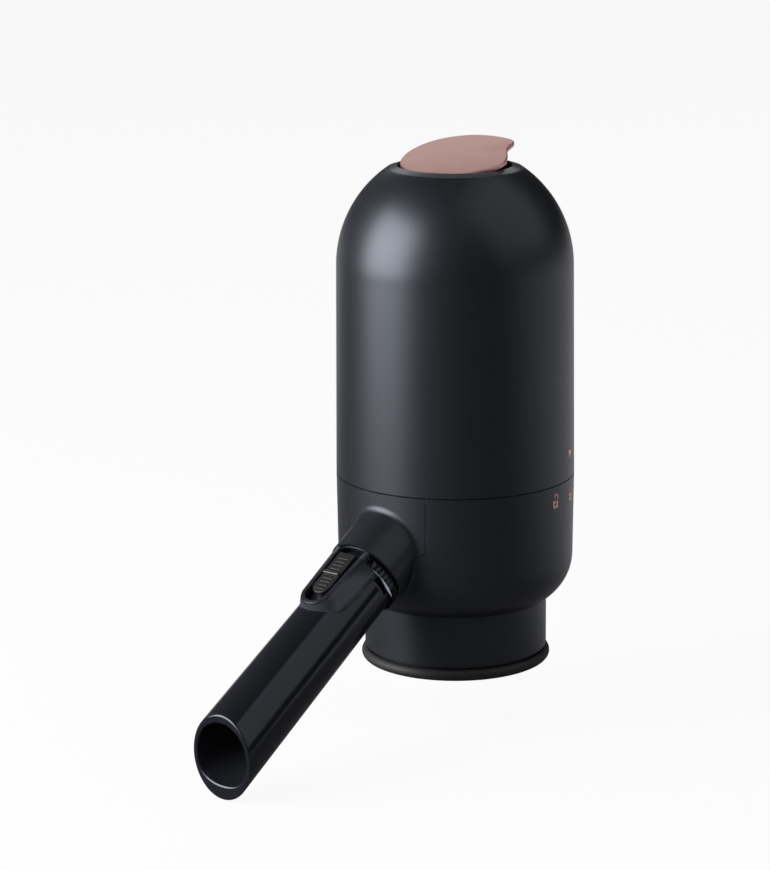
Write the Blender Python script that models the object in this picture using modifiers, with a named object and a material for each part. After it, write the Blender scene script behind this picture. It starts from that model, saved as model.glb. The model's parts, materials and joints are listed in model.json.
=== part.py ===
"""Electric wine aerator that sits on a bottle's neck: battery pump above, wine spout below.

Metres, +Z up. The origin is on the body's axis, in the plane where the bottle's lip meets the seal.
The spout points along -Y and slopes down.
"""

import math

import bmesh
import bpy
from mathutils import Matrix, Vector

# Clearances and small shared values
GAP = 0.0003
OVERRUN = 0.001
MERGE = 0.00001
EDGE_ROUND = 0.0004
SHARP_ANGLE = math.radians(35.0)

# How finely round pieces are divided
HOUSING_STEPS = 40
RING_STEPS = 32
SMALL_STEPS = 16
FINE_STEPS = 10

# Body outline
UPPER_DRAFT = 0.0003
LOWER_DRAFT = 0.0003
SHELL_WALL = 0.0021
SOCKET_DEPTH = 0.0170
COLLAR_SHOWN = 0.0148
LOWER_HEIGHT = 0.0319
ROOM_OVER_CELLS = 0.0085
DOME_RISE = 0.0251
FOOT_CORNER_HEIGHT = 0.0120

# Collar, its rim gasket and the bottle seal
COLLAR_RADIUS = 0.0223
COLLAR_WALL = 0.0022
COLLAR_FLANGE = 0.0021
FLANGE_THICK = 0.0024
SPIGOT_INSET = 0.0008
SPIGOT_LENGTH = 0.0023
BEAD_OVERHANG = 0.00085
BEAD_HEIGHT = 0.0028
BEAD_LIP = 0.0008
GROOVE_HEIGHT = 0.0006
SEAL_ROOF = 0.0025
SEAL_WALL = 0.0032
SEAL_FIN_REACH = 0.0017
SEAL_FIN_THICK = 0.0006
SEAL_FIN_PITCH = 0.0034
SEAL_FINS = 4
SEAL_LENGTH = 0.0150
SEAL_CENTRE_HOLE = 0.0049

# Port plate over the collar
PLATE_THICK = 0.0025
DIP_BORE = 0.0031
DIP_RING_INNER = 0.0033
AIR_PORT_REACH = 0.0115
AIR_PORT_RADIUS = 0.0010
VALVE_RADIUS = 0.0017
VALVE_HEIGHT = 0.0020
SCREW_COUNT = 3
SCREW_SHANK = 0.0009
SCREW_HEAD = 0.0019
SCREW_HEAD_HEIGHT = 0.0014
SCREW_LENGTH = 0.0049

# Spout: its line, then its tube, socket and cut end
SPOUT_SLOPE = math.radians(31.3)
SOCKET_SHOWN = 0.0050
SPOUT_MOUTH_Z = 0.0103
SPOUT_LENGTH = 0.0602
SPOUT_INSERT = 0.0122
TUBE_RADIUS = 0.0078
TUBE_TIP_RADIUS = 0.0086
BORE_RADIUS = 0.0062
BORE_TIP_RADIUS = 0.00735
TIP_ANGLE = math.radians(30.0)
PLUG_INSET = 0.0002
GROOVE_DEPTH = 0.0009
GROOVE_WIDTH = 0.0016
GROOVE_PITCH = 0.0034
ORING_WIRE = 0.00042
SHOULDER_RADIUS = 0.0088
SHOULDER_LENGTH = 0.0017
SOCKET_RADIUS = 0.0097
SOCKET_RISE = 0.0008
SOCKET_INSERT = 0.0126
PANEL_HALF_ANGLE = math.radians(24.6)
PANEL_CORNER = 0.0016
PANEL_CORNER_SHARES = (0.25, 0.5, 0.75)
AIR_SLOT_START = 0.0022
AIR_SLOT_WIDTH = 0.0012
AIR_SLOT_LOW = 0.0020
AIR_SLOT_HIGH = 0.0046
AIR_SLOT_DEPTH = 0.0040

# Pod on the spout and the slider in it
POD_HALF_WIDTH = 0.0049
POD_START = 0.0005
POD_END = 0.0188
POD_TOP = 0.0089
POD_ROOT = 0.0050
POD_RIM = 0.0015
POD_FLOOR = 0.00768
POD_ROUND = 0.0006
SLIDER_LENGTH = 0.0124
SLIDER_START = 0.0024
SLIDER_THICK = 0.0008
SLIDER_RIB = 0.0005
SLIDER_RIB_WIDTH = 0.0010
PAD_RIDGES = 4
PAD_RIDGE_WIDTH = 0.0005
PAD_RIDGE_HEIGHT = 0.00025

# Wine elbow, air coupling and pipe
ELBOW_RADIUS = 0.0042
ELBOW_TOP = 0.0217
ELBOW_FOOT_RADIUS = 0.0070
ELBOW_FOOT_THICK = 0.0014
ELBOW_ARM_RADIUS = 0.0036
ELBOW_ARM_Z = 0.0170
ELBOW_ARM_REACH = 0.0195
ELBOW_BORE = 0.0022
HUB_RADIUS = 0.0050
HUB_LENGTH = 0.0041
HUB_BORE = 0.0028
CUP_RADIUS = 0.0066
CUP_THICK = 0.0015
NOZZLE_THROAT = 0.0012
NOZZLE_LENGTH = 0.0036
AIR_NIPPLE_Z = 0.0205
AIR_NIPPLE_RADIUS = 0.0011
AIR_NIPPLE_BORE = 0.0006
AIR_NIPPLE_REACH = 0.0080
AIR_WELL_RADIUS = 0.0012
COUPLING_RADIUS = 0.0046
COUPLING_BORE = 0.0015
COUPLING_THICK = 0.0016
PIPE_RADIUS = 0.0019
PIPE_BEND = 0.0035

# Deck of the lower unit and the twist lock
DECK_DROP = 0.0032
DECK_THICK = 0.0022
DECK_INSET = 0.0017
BOSS_RADIUS = 0.0120
LUG_REACH = 0.0140
LUG_WIDTH = 0.0034
LUG_THICK = 0.0023
LUG_COUNT = 3
SLOT_WIDTH = 0.0040
TWIST_ANGLE = math.radians(18.0)

# Upper unit: base, dome and its opening
BASE_THICK = 0.0020
BASE_INSET = 0.0023
DOME_SKIRT = 0.0016
OPENING_RADIUS = 0.0149
OPENING_REBATE = 0.0155
OPENING_LEDGE = 0.0010

# Cells and their carrier
CELL_COUNT = 6
CELL_RADIUS = 0.00525
CELL_LENGTH = 0.0445
CELL_NUB_RADIUS = 0.0019
CELL_NUB_HEIGHT = 0.0008
CELL_ROOM = 0.0012
CORE_INNER = 0.0133
CORE_WALL = 0.0013
FIN_THICK = 0.0016
FIN_INSET = 0.0016
FIN_LIFT = 0.0019
CARRIER_TOP_THICK = 0.0015
CARRIER_TOP_INSET = 0.0006
CONTACT_HOLE = 0.0026
CONTACT_PIN = 0.0016
BOARD_THICK = 0.0010
CONTACT_RING_INSET = 0.0008
CONTACT_SPRING_HEIGHT = 0.0017
CONTACT_SPRING_FOOT = 0.0030
CONTACT_SPRING_TOP = 0.0012

# Pump and motor inside the carrier's core
PUMP_RADIUS = 0.0118
PUMP_FLANGE = 0.0130
PUMP_LIFT = 0.0027
PUMP_HEAD_HEIGHT = 0.0060
PUMP_FLANGE_LIFT = 0.0008
PUMP_FLANGE_THICK = 0.0015
DIAPHRAGM_THICK = 0.0016
DIAPHRAGM_CUP_RADIUS = 0.0026
DIAPHRAGM_CUP_RING = 0.0062
DIAPHRAGM_CUP_HEIGHT = 0.0024
DIAPHRAGM_CUPS = 3
FRAME_WALL = 0.0012
FRAME_HEIGHT = 0.0085
FRAME_HOLE = 0.0032
ROCKER_RADIUS = 0.0086
ROCKER_THICK = 0.0015
ROCKER_HUB_RADIUS = 0.0032
ROCKER_HUB_HEIGHT = 0.0017
ROCKER_BORE = 0.0020
CRANK_RADIUS = 0.0036
CRANK_THICK = 0.0010
CRANK_THROW = 0.0007
CRANK_PIN_RADIUS = 0.0009
CRANK_PIN_LENGTH = 0.0022
SHAFT_RADIUS = 0.0010
SHAFT_LENGTH = 0.0090
MOTOR_RADIUS = 0.0100
MOTOR_LENGTH = 0.0250
MOTOR_CAP_RADIUS = 0.0030
MOTOR_CAP_HEIGHT = 0.0012
DAMPER_LIFT = 0.0155
DAMPER_HEIGHT = 0.0060
AIR_TUBE_RADIUS = 0.0019
AIR_TUBE_BORE = 0.0012

# Button bezel, lever, leaf and switch
BEZEL_INNER = 0.0138
BEZEL_WALL = 0.0008
BEZEL_FLANGE = 0.01525
BEZEL_RISE = 0.0222
BEZEL_CHAMFER_WIDTH = 0.0012
BEZEL_CHAMFER_DROP = 0.0009
BEZEL_DEPTH = 0.0076
BEZEL_FLOOR = 0.0012
NOTCH_DEPTH = 0.0012
NOTCH_HALF_WIDTH = 0.0062
LEAF_LIFT = 0.0022
LEAF_TILT = math.radians(12.5)
LEAF_RADIUS = 0.0132
LEAF_TIP_RADIUS = 0.01545
LEAF_STEPS = 48
LEAF_THICK = 0.0012
LEAF_ROUND = 0.0003
LEVER_RADIUS = 0.0122
LEVER_THICK = 0.0016
HINGE_Y = -0.0104
HINGE_DROP = 0.0056
HINGE_PIN_RADIUS = 0.0009
HINGE_PIN_HALF = 0.0078
HINGE_BARREL_RADIUS = 0.0017
HINGE_BARREL_HALF = 0.0052
HINGE_WEB_HALF = 0.0010
EAR_THICK = 0.0016
EAR_HALF_DEPTH = 0.0016
PRESS_Y = 0.0030
PRESS_PIN_RADIUS = 0.0013
PRESS_HOLE = 0.0022
SPRING_Y = 0.0082
SPRING_RADIUS = 0.0021
SPRING_WIRE = 0.00025
SPRING_TURNS = 5
SPRING_TURN_POINTS = 10
SPRING_SHORT = 0.0006
BOARD_RADIUS = 0.0120
POST_RADIUS = 0.0017
POST_REACH = 0.0090
POST_Y = -0.0017
POST_LENGTH = 0.0051
POST_BORE = 0.0010
BOARD_SCREW_SHANK = 0.0007
BOARD_SCREW_HEAD = 0.0014
BOARD_SCREW_LENGTH = 0.0045
SWITCH_HALF = 0.0030
SWITCH_HEIGHT = 0.0031
PLUNGER_RADIUS = 0.0015
PLUNGER_LENGTH = 0.0026
PLUNGER_SHOWN = 0.0012
PLUNGER_BORE_DEPTH = 0.0026
LEAD_RADIUS = 0.0006
LEAD_POINTS = 9
BATTERY_LEAD_REACH = 0.0175
MOTOR_LEAD_REACH = 0.0045
LEAD_TOP_SHARE = 0.55

# Radii and levels worked out from the sizes above
CELL_RING = CORE_INNER + CORE_WALL + GAP + CELL_RADIUS
DOME_INNER_RADIUS = CELL_RING + CELL_RADIUS + CELL_ROOM
BODY_RADIUS = DOME_INNER_RADIUS + SHELL_WALL + UPPER_DRAFT
BASE_RADIUS = BODY_RADIUS - BASE_INSET
DECK_EDGE = BODY_RADIUS - DECK_INSET
REBATE_RADIUS = DECK_EDGE + GAP
FIN_REACH = DOME_INNER_RADIUS - FIN_INSET
CARRIER_TOP_RADIUS = DOME_INNER_RADIUS - CARRIER_TOP_INSET
CONTACT_RING_OUTER = DOME_INNER_RADIUS - CONTACT_RING_INSET
SPOUT_REACH = BODY_RADIUS + SOCKET_SHOWN
UPPER_STRAIGHT = CELL_LENGTH + ROOM_OVER_CELLS
FOOT_Z = COLLAR_SHOWN - SOCKET_DEPTH
SEAM_Z = FOOT_Z + LOWER_HEIGHT
DOME_Z = SEAM_Z + UPPER_STRAIGHT + GAP
BEZEL_TOP = DOME_Z + BEZEL_RISE
LEAF_Z = BEZEL_TOP + LEAF_LIFT
HINGE_Z = BEZEL_TOP - HINGE_DROP
TOP_RADIUS = BODY_RADIUS - UPPER_DRAFT
LOW_RADIUS = BODY_RADIUS - LOWER_DRAFT
FOOT_CORNER_WIDTH = LOW_RADIUS - COLLAR_RADIUS - GAP
COLLAR_BORE = COLLAR_RADIUS - COLLAR_WALL
BEAD_RADIUS = COLLAR_RADIUS + BEAD_OVERHANG
SEAL_FIN_RADIUS = COLLAR_BORE - GAP - SEAL_WALL - SEAL_FIN_REACH
FLANGE_Z = FOOT_Z + SHELL_WALL + GAP
COLLAR_TOP = FLANGE_Z + FLANGE_THICK
BEAD_Z = -SOCKET_DEPTH
BEAD_TOP = BEAD_Z + BEAD_HEIGHT
PLATE_Z = max(COLLAR_TOP, SEAL_ROOF) + GAP
PLATE_TOP = PLATE_Z + PLATE_THICK
PLATE_RADIUS = COLLAR_RADIUS + COLLAR_FLANGE
SCREW_RING = COLLAR_RADIUS + COLLAR_FLANGE / 2 - COLLAR_WALL / 2 + SPIGOT_INSET / 2
DECK_Z = SEAM_Z - DECK_DROP
DECK_TOP = DECK_Z + DECK_THICK
BASE_Z = DECK_TOP + GAP
BASE_TOP = BASE_Z + BASE_THICK
BOSS_Z = DECK_Z - GAP - LUG_THICK
CELL_Z = BASE_TOP + GAP + BOARD_THICK + CONTACT_SPRING_HEIGHT + GAP
CELL_TOP = CELL_Z + CELL_LENGTH
CARRIER_TOP_Z = CELL_TOP + CELL_NUB_HEIGHT
CONTACT_TOP_Z = CARRIER_TOP_Z + CARRIER_TOP_THICK + GAP
PUMP_Z = BASE_TOP + PUMP_LIFT
DIAPHRAGM_Z = PUMP_Z + PUMP_HEAD_HEIGHT + GAP
FRAME_Z = DIAPHRAGM_Z + DIAPHRAGM_THICK + GAP
FRAME_TOP = FRAME_Z + FRAME_HEIGHT
ROCKER_Z = DIAPHRAGM_Z + DIAPHRAGM_THICK + DIAPHRAGM_CUP_HEIGHT + GAP
MOTOR_Z = FRAME_TOP + GAP
MOTOR_TOP = MOTOR_Z + MOTOR_LENGTH
BEZEL_Z = BEZEL_TOP - BEZEL_DEPTH
FLOOR_Z = BEZEL_Z - BEZEL_FLOOR
BOARD_Z = FLOOR_Z - POST_LENGTH - GAP - BOARD_THICK
SWITCH_Z = BOARD_Z + BOARD_THICK + GAP
SWITCH_TOP = SWITCH_Z + SWITCH_HEIGHT
PLUNGER_TOP = SWITCH_TOP + PLUNGER_SHOWN
DOME_INNER_RISE = DOME_RISE - SHELL_WALL
SEAT_RADIUS = TUBE_RADIUS + GAP

# Colours, as red, green, blue
SOFT_BLACK = (0.022, 0.024, 0.028)
GLOSS_BLACK = (0.012, 0.013, 0.016)
COLLAR_GREY = (0.045, 0.047, 0.052)
RUBBER_BLACK = (0.018, 0.018, 0.020)
ROSE_GOLD = (0.66, 0.39, 0.32)
SILICONE_GREY = (0.35, 0.35, 0.36)
WHITE_PLASTIC = (0.72, 0.72, 0.70)
STEEL = (0.62, 0.62, 0.64)
BOARD_GREEN = (0.04, 0.20, 0.09)
CELL_BLUE = (0.07, 0.16, 0.34)
COPPER = (0.62, 0.34, 0.22)
LEAD_RED = (0.50, 0.03, 0.03)


def clear_scene():
    """Removes every object that the open file holds."""
    for obj in list(bpy.data.objects):
        bpy.data.objects.remove(obj, do_unlink=True)


def new_collection(name, hidden=False):
    group = bpy.data.collections.new(name)
    bpy.context.scene.collection.children.link(group)
    group.hide_render = hidden
    return group


clear_scene()
PARTS = new_collection("wine_aerator")
CUTTERS = new_collection("cutters", hidden=True)


def material(name, colour, roughness, metallic=0.0):
    """One Principled material."""
    finish = bpy.data.materials.new(name)
    finish.use_nodes = True
    shader = finish.node_tree.nodes["Principled BSDF"]
    shader.inputs["Base Color"].default_value = (*colour, 1.0)
    shader.inputs["Roughness"].default_value = roughness
    shader.inputs["Metallic"].default_value = metallic
    finish.diffuse_color = (*colour, 1.0)
    return finish


def empty(name, place, turn=(0.0, 0.0, 0.0)):
    """A frame for pieces that share a tilted axis."""
    holder = bpy.data.objects.new(name, None)
    holder.location = place
    holder.rotation_euler = turn
    PARTS.objects.link(holder)
    return holder


def place(obj, finish=None, holder=None, at=(0.0, 0.0, 0.0), turn=(0.0, 0.0, 0.0)):
    """Links an object as a part, or as a cutter where it has no finish."""
    if finish is None:
        obj.display_type = "WIRE"
        obj.hide_render = True
        CUTTERS.objects.link(obj)
    else:
        obj.data.materials.append(finish)
        obj.data.shade_smooth()
        obj.data.set_sharp_from_angle(angle=SHARP_ANGLE)
        PARTS.objects.link(obj)
    obj.location = at
    obj.rotation_euler = turn
    obj.parent = holder
    return obj


def turned(name, profile, steps, finish=None, holder=None, at=(0.0, 0.0, 0.0), ring=True, turn=(0.0, 0.0, 0.0)):
    """A Screw of (radius, height) points that run down the outer side first. A ring's outline is closed."""
    mesh = bpy.data.meshes.new(name)
    corners = [(radius, 0.0, height) for radius, height in profile]
    edges = [(index, index + 1) for index in range(len(corners) - 1)]
    if ring:
        edges.append((len(corners) - 1, 0))
    mesh.from_pydata(corners, edges, [])
    obj = bpy.data.objects.new(name, mesh)
    screw = obj.modifiers.new("Turn", "SCREW")
    screw.steps = steps
    screw.render_steps = steps
    screw.use_merge_vertices = True
    screw.merge_threshold = MERGE
    return place(obj, finish, holder, at, turn)


def disc(radius, low, high):
    """Profile of a plain cylinder between two heights."""
    return [(0.0, high), (radius, high), (radius, low), (0.0, low)]


def band(inner, outer, low, high):
    """Profile of a plain ring."""
    return [(outer, high), (outer, low), (inner, low), (inner, high)]


def rod(name, radius, low, high, finish=None, holder=None, at=(0.0, 0.0, 0.0), steps=SMALL_STEPS,
        turn=(0.0, 0.0, 0.0)):
    return turned(name, disc(radius, low, high), steps, finish, holder, at, False, turn)


def block_mesh(low, high):
    """A bmesh box between two corners."""
    bm = bmesh.new()
    bmesh.ops.create_cube(bm, size=1.0)
    size = [top - bottom for bottom, top in zip(low, high)]
    centre = [(top + bottom) / 2 for bottom, top in zip(low, high)]
    bmesh.ops.transform(bm, matrix=Matrix.LocRotScale(centre, None, size), verts=bm.verts)
    return bm


def from_bmesh(name, bm, finish=None, holder=None, at=(0.0, 0.0, 0.0), turn=(0.0, 0.0, 0.0)):
    mesh = bpy.data.meshes.new(name)
    bmesh.ops.recalc_face_normals(bm, faces=bm.faces)
    bm.to_mesh(mesh)
    bm.free()
    return place(bpy.data.objects.new(name, mesh), finish, holder, at, turn)


def block(name, low, high, finish=None, holder=None, at=(0.0, 0.0, 0.0), turn=(0.0, 0.0, 0.0)):
    return from_bmesh(name, block_mesh(low, high), finish, holder, at, turn)


def bool_with(obj, others, operation):
    """Adds one exact Boolean for each other object."""
    for other in others:
        modifier = obj.modifiers.new(operation.title(), "BOOLEAN")
        modifier.operation = operation
        modifier.solver = "EXACT"
        modifier.object = other
    return obj


def join(obj, *others):
    return bool_with(obj, others, "UNION")


def cut(obj, *others):
    return bool_with(obj, others, "DIFFERENCE")


def outline_plate(name, outline, thick, finish=None, holder=None, at=(0.0, 0.0, 0.0), rounding=0.0,
                  turn=(0.0, 0.0, 0.0)):
    """A flat curve outline with thickness, its top at the local zero plane."""
    curve = bpy.data.curves.new(name, "CURVE")
    curve.dimensions = "2D"
    curve.fill_mode = "BOTH"
    curve.extrude = thick / 2 - rounding
    curve.bevel_depth = rounding
    curve.bevel_resolution = 1
    spline = curve.splines.new("POLY")
    spline.points.add(len(outline) - 1)
    for point, (x, y) in zip(spline.points, outline):
        point.co = (x, y, -thick / 2, 1.0)
    spline.use_cyclic_u = True
    obj = bpy.data.objects.new(name, curve)
    return place(curve_as_mesh(obj), finish, holder, at, turn)


def curve_as_mesh(obj):
    """The same shape as a mesh object with welded caps."""
    bpy.context.scene.collection.objects.link(obj)
    graph = bpy.context.evaluated_depsgraph_get()
    mesh = bpy.data.meshes.new_from_object(obj.evaluated_get(graph), depsgraph=graph)
    bm = bmesh.new()
    bm.from_mesh(mesh)
    bmesh.ops.remove_doubles(bm, verts=bm.verts, dist=MERGE)
    bmesh.ops.recalc_face_normals(bm, faces=bm.faces)
    bm.to_mesh(mesh)
    bm.free()
    name = obj.name
    bpy.data.objects.remove(obj, do_unlink=True)
    made = bpy.data.objects.new(name, mesh)
    made.name = name
    return made


def wire(name, points, radius, finish, roundness=2):
    """A round wire or pipe along the points, with closed ends."""
    curve = bpy.data.curves.new(name, "CURVE")
    curve.dimensions = "3D"
    curve.bevel_depth = radius
    curve.bevel_resolution = roundness
    curve.use_fill_caps = True
    spline = curve.splines.new("POLY")
    spline.points.add(len(points) - 1)
    for point, spot in zip(spline.points, points):
        point.co = (*spot, 1.0)
    obj = bpy.data.objects.new(name, curve)
    return place(curve_as_mesh(obj), finish)


def ellipse_arc(centre, width, height, first, last, count):
    """Points of an ellipse's arc, angles in degrees from +X."""
    points = []
    for index in range(count + 1):
        angle = math.radians(first + (last - first) * index / count)
        points.append((centre[0] + width * math.cos(angle), centre[1] + height * math.sin(angle)))
    return points


def around(count, first=90.0):
    """Angles in radians, evenly round the axis, the first one in degrees."""
    return [math.radians(first) + 2 * math.pi * index / count for index in range(count)]


def ring_spot(radius, angle, height=0.0):
    return (radius * math.cos(angle), radius * math.sin(angle), height)


def dome_angle(radius, width):
    """Angle in degrees at which an ellipse of this half width has this radius."""
    return math.degrees(math.acos(radius / width))


# Frames of the tilted pieces
SPOUT_FRAME = empty("spout_axis", (0.0, -SPOUT_REACH, SPOUT_MOUTH_Z), (math.pi / 2 + SPOUT_SLOPE, 0.0, 0.0))
SOCKET_AT = (0.0, SOCKET_RISE, 0.0)
LEAF_FRAME = empty("leaf_plane", (0.0, 0.0, LEAF_Z), (LEAF_TILT, 0.0, 0.0))
ALONG_X = (0.0, math.pi / 2, 0.0)
ALONG_Y = (math.pi / 2, 0.0, 0.0)


def lower_shell(name, finish=None):
    """Lower housing with its spout socket, before the front panel is parted from it."""
    corner_z = FOOT_Z + FOOT_CORNER_HEIGHT
    foot_bore = COLLAR_RADIUS + GAP
    floor_edge = PLATE_RADIUS + GAP
    inner = BODY_RADIUS - SHELL_WALL - EDGE_ROUND / 4
    corner_centre = (LOW_RADIUS - FOOT_CORNER_WIDTH, corner_z)
    profile = [(BODY_RADIUS - EDGE_ROUND / 2, SEAM_Z), (BODY_RADIUS, SEAM_Z - EDGE_ROUND / 2)]
    profile += ellipse_arc(corner_centre, FOOT_CORNER_WIDTH, FOOT_CORNER_HEIGHT, 0, -90, 6)
    profile[-1] = (foot_bore, FOOT_Z)
    profile += [(foot_bore, FOOT_Z + SHELL_WALL), (floor_edge, FOOT_Z + SHELL_WALL)]
    profile += [(inner, FOOT_Z + FOOT_CORNER_HEIGHT * 2 / 3), (inner, DECK_Z - GAP)]
    profile += [(REBATE_RADIUS, DECK_Z - GAP), (REBATE_RADIUS, SEAM_Z)]
    shell = turned(name, profile, HOUSING_STEPS, finish)
    join(shell, rod(name + "_sleeve", SOCKET_RADIUS, -SOCKET_INSERT, 0.0, None, SPOUT_FRAME, SOCKET_AT, RING_STEPS))
    bore = rod(name + "_bore", SEAT_RADIUS, -SOCKET_INSERT - OVERRUN, OVERRUN, None, SPOUT_FRAME, steps=RING_STEPS)
    return cut(shell, bore)


def panel_planes(grow):
    """Planes, each as a point and an outward normal, that bound the front panel: below, at both sides, and
    round the corners between them. The upper end is the seam."""
    down = Vector((0.0, math.sin(SPOUT_SLOPE), -math.cos(SPOUT_SLOPE)))
    middle = Vector((0.0, -SPOUT_REACH, SPOUT_MOUTH_Z)) - down * SOCKET_RISE
    planes = [(middle + down * grow, down)]
    for side in (-1, 1):
        outward = Vector((side * math.cos(PANEL_HALF_ANGLE), math.sin(PANEL_HALF_ANGLE), 0.0))
        planes.append((outward * grow, outward))
        lean = down.dot(outward)
        across = (-PANEL_CORNER * (1 - lean) - middle.dot(outward)) / (1 - lean * lean)
        centre = middle + outward * across - down * (PANEL_CORNER + lean * across)
        for share in PANEL_CORNER_SHARES:
            normal = down.lerp(outward, share).normalized()
            planes.append((centre + normal * (PANEL_CORNER + grow), normal))
    return planes


def panel_wedge(name, grow):
    """The region inside all of the panel's planes, as one cutter."""
    reach = SPOUT_REACH + SOCKET_RADIUS
    bm = block_mesh((-reach, -reach, FOOT_Z), (reach, reach, SEAM_Z + OVERRUN))
    for spot, normal in panel_planes(grow):
        parts = bm.verts[:] + bm.edges[:] + bm.faces[:]
        bmesh.ops.bisect_plane(bm, geom=parts, plane_co=spot, plane_no=normal, clear_outer=True)
        bmesh.ops.holes_fill(bm, edges=bm.edges[:], sides=0)
        bmesh.ops.recalc_face_normals(bm, faces=bm.faces)
    return from_bmesh(name, bm)


def make_lower_housing(finish):
    return cut(lower_shell("lower_housing", finish), panel_wedge("panel_opening", GAP / 2))


def make_front_panel(finish):
    """The piece of wall and socket that is left once each plane's far side is cut away."""
    panel = lower_shell("front_panel", finish)
    reach = BODY_RADIUS * 2
    for index, (spot, normal) in enumerate(panel_planes(-GAP / 2)):
        turn = normal.to_track_quat("Z", "Y").to_euler()
        cut(panel, block(f"panel_side_{index + 1}", (-reach, -reach, 0.0), (reach, reach, reach), at=spot, turn=turn))
    return panel


def make_collar(finish):
    spigot_z = BEAD_TOP + GROOVE_HEIGHT
    spigot = COLLAR_RADIUS - SPIGOT_INSET
    foot = spigot_z - SPIGOT_LENGTH
    profile = [(PLATE_RADIUS, COLLAR_TOP), (PLATE_RADIUS, FLANGE_Z), (COLLAR_RADIUS, FLANGE_Z)]
    profile += [(COLLAR_RADIUS, spigot_z), (spigot, spigot_z), (spigot, foot)]
    profile += [(COLLAR_BORE, foot), (COLLAR_BORE, COLLAR_TOP)]
    collar = turned("collar", profile, HOUSING_STEPS, finish)
    for index, angle in enumerate(around(SCREW_COUNT)):
        hole = rod(f"collar_hole_{index + 1}", SCREW_SHANK + GAP, FLANGE_Z + GAP, COLLAR_TOP + OVERRUN,
                   at=ring_spot(SCREW_RING, angle), steps=FINE_STEPS)
        cut(collar, hole)
    return collar


def make_rim_gasket(finish):
    inner = COLLAR_RADIUS - SPIGOT_INSET + GAP
    lip_top = BEAD_TOP + GROOVE_HEIGHT - SPIGOT_LENGTH - GAP
    bead = BEAD_HEIGHT / 2
    profile = [(inner, BEAD_TOP), (BEAD_RADIUS - bead, BEAD_TOP)]
    profile += ellipse_arc((BEAD_RADIUS - bead, BEAD_TOP - bead), bead, bead, 75, -90, 6)
    profile += [(COLLAR_BORE, BEAD_Z), (COLLAR_BORE, lip_top), (inner, lip_top)]
    return turned("rim_gasket", profile, HOUSING_STEPS, finish)


def make_bottle_seal(finish):
    outer = COLLAR_BORE - GAP
    inner = outer - SEAL_WALL
    profile = [(outer, SEAL_ROOF), (outer, -SEAL_LENGTH), (inner, -SEAL_LENGTH)]
    for index in reversed(range(SEAL_FINS)):
        middle = -SEAL_FIN_PITCH * (index + 1)
        profile += [(inner, middle - SEAL_FIN_THICK), (SEAL_FIN_RADIUS, middle - SEAL_FIN_THICK / 2)]
        profile += [(SEAL_FIN_RADIUS, middle + SEAL_FIN_THICK / 2), (inner, middle + SEAL_FIN_THICK)]
    profile += [(inner, 0.0), (SEAL_CENTRE_HOLE, 0.0), (SEAL_CENTRE_HOLE, SEAL_ROOF)]
    seal = turned("bottle_seal", profile, RING_STEPS, finish)
    return cut(seal, rod("seal_air_hole", VALVE_RADIUS + GAP, -OVERRUN, SEAL_ROOF + OVERRUN,
                         at=(0.0, AIR_PORT_REACH, 0.0), steps=FINE_STEPS))


def make_dip_tube_ring(finish):
    low = PLATE_Z - GAP - VALVE_HEIGHT
    return turned("dip_tube_ring", band(DIP_RING_INNER, SEAL_CENTRE_HOLE - GAP, low, PLATE_Z - GAP), SMALL_STEPS,
                  finish)


def make_air_valve(finish):
    low = PLATE_Z - GAP - VALVE_HEIGHT
    return turned("air_check_valve", band(AIR_PORT_RADIUS / 2, VALVE_RADIUS, low, PLATE_Z - GAP), FINE_STEPS, finish,
                  at=(0.0, AIR_PORT_REACH, 0.0))


def make_port_plate(finish):
    plate = turned("port_plate", band(DIP_BORE, PLATE_RADIUS, PLATE_Z, PLATE_TOP), RING_STEPS, finish)
    low, high = PLATE_Z - OVERRUN, PLATE_TOP + OVERRUN
    cut(plate, rod("plate_air_hole", AIR_PORT_RADIUS, low, high, at=(0.0, AIR_PORT_REACH, 0.0), steps=FINE_STEPS))
    for index, angle in enumerate(around(SCREW_COUNT)):
        cut(plate, rod(f"plate_hole_{index + 1}", SCREW_SHANK + GAP, low, high, at=ring_spot(SCREW_RING, angle),
                       steps=FINE_STEPS))
    return plate


def make_plate_screws(finish):
    head_z = PLATE_TOP + GAP
    for index, angle in enumerate(around(SCREW_COUNT)):
        profile = [(0.0, head_z + SCREW_HEAD_HEIGHT), (SCREW_HEAD - EDGE_ROUND, head_z + SCREW_HEAD_HEIGHT)]
        profile += [(SCREW_HEAD, head_z + SCREW_HEAD_HEIGHT - EDGE_ROUND), (SCREW_HEAD, head_z)]
        profile += [(SCREW_SHANK, head_z), (SCREW_SHANK, head_z - SCREW_LENGTH), (0.0, head_z - SCREW_LENGTH)]
        turned(f"plate_screw_{index + 1}", profile, FINE_STEPS, finish, at=ring_spot(SCREW_RING, angle), ring=False)


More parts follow.
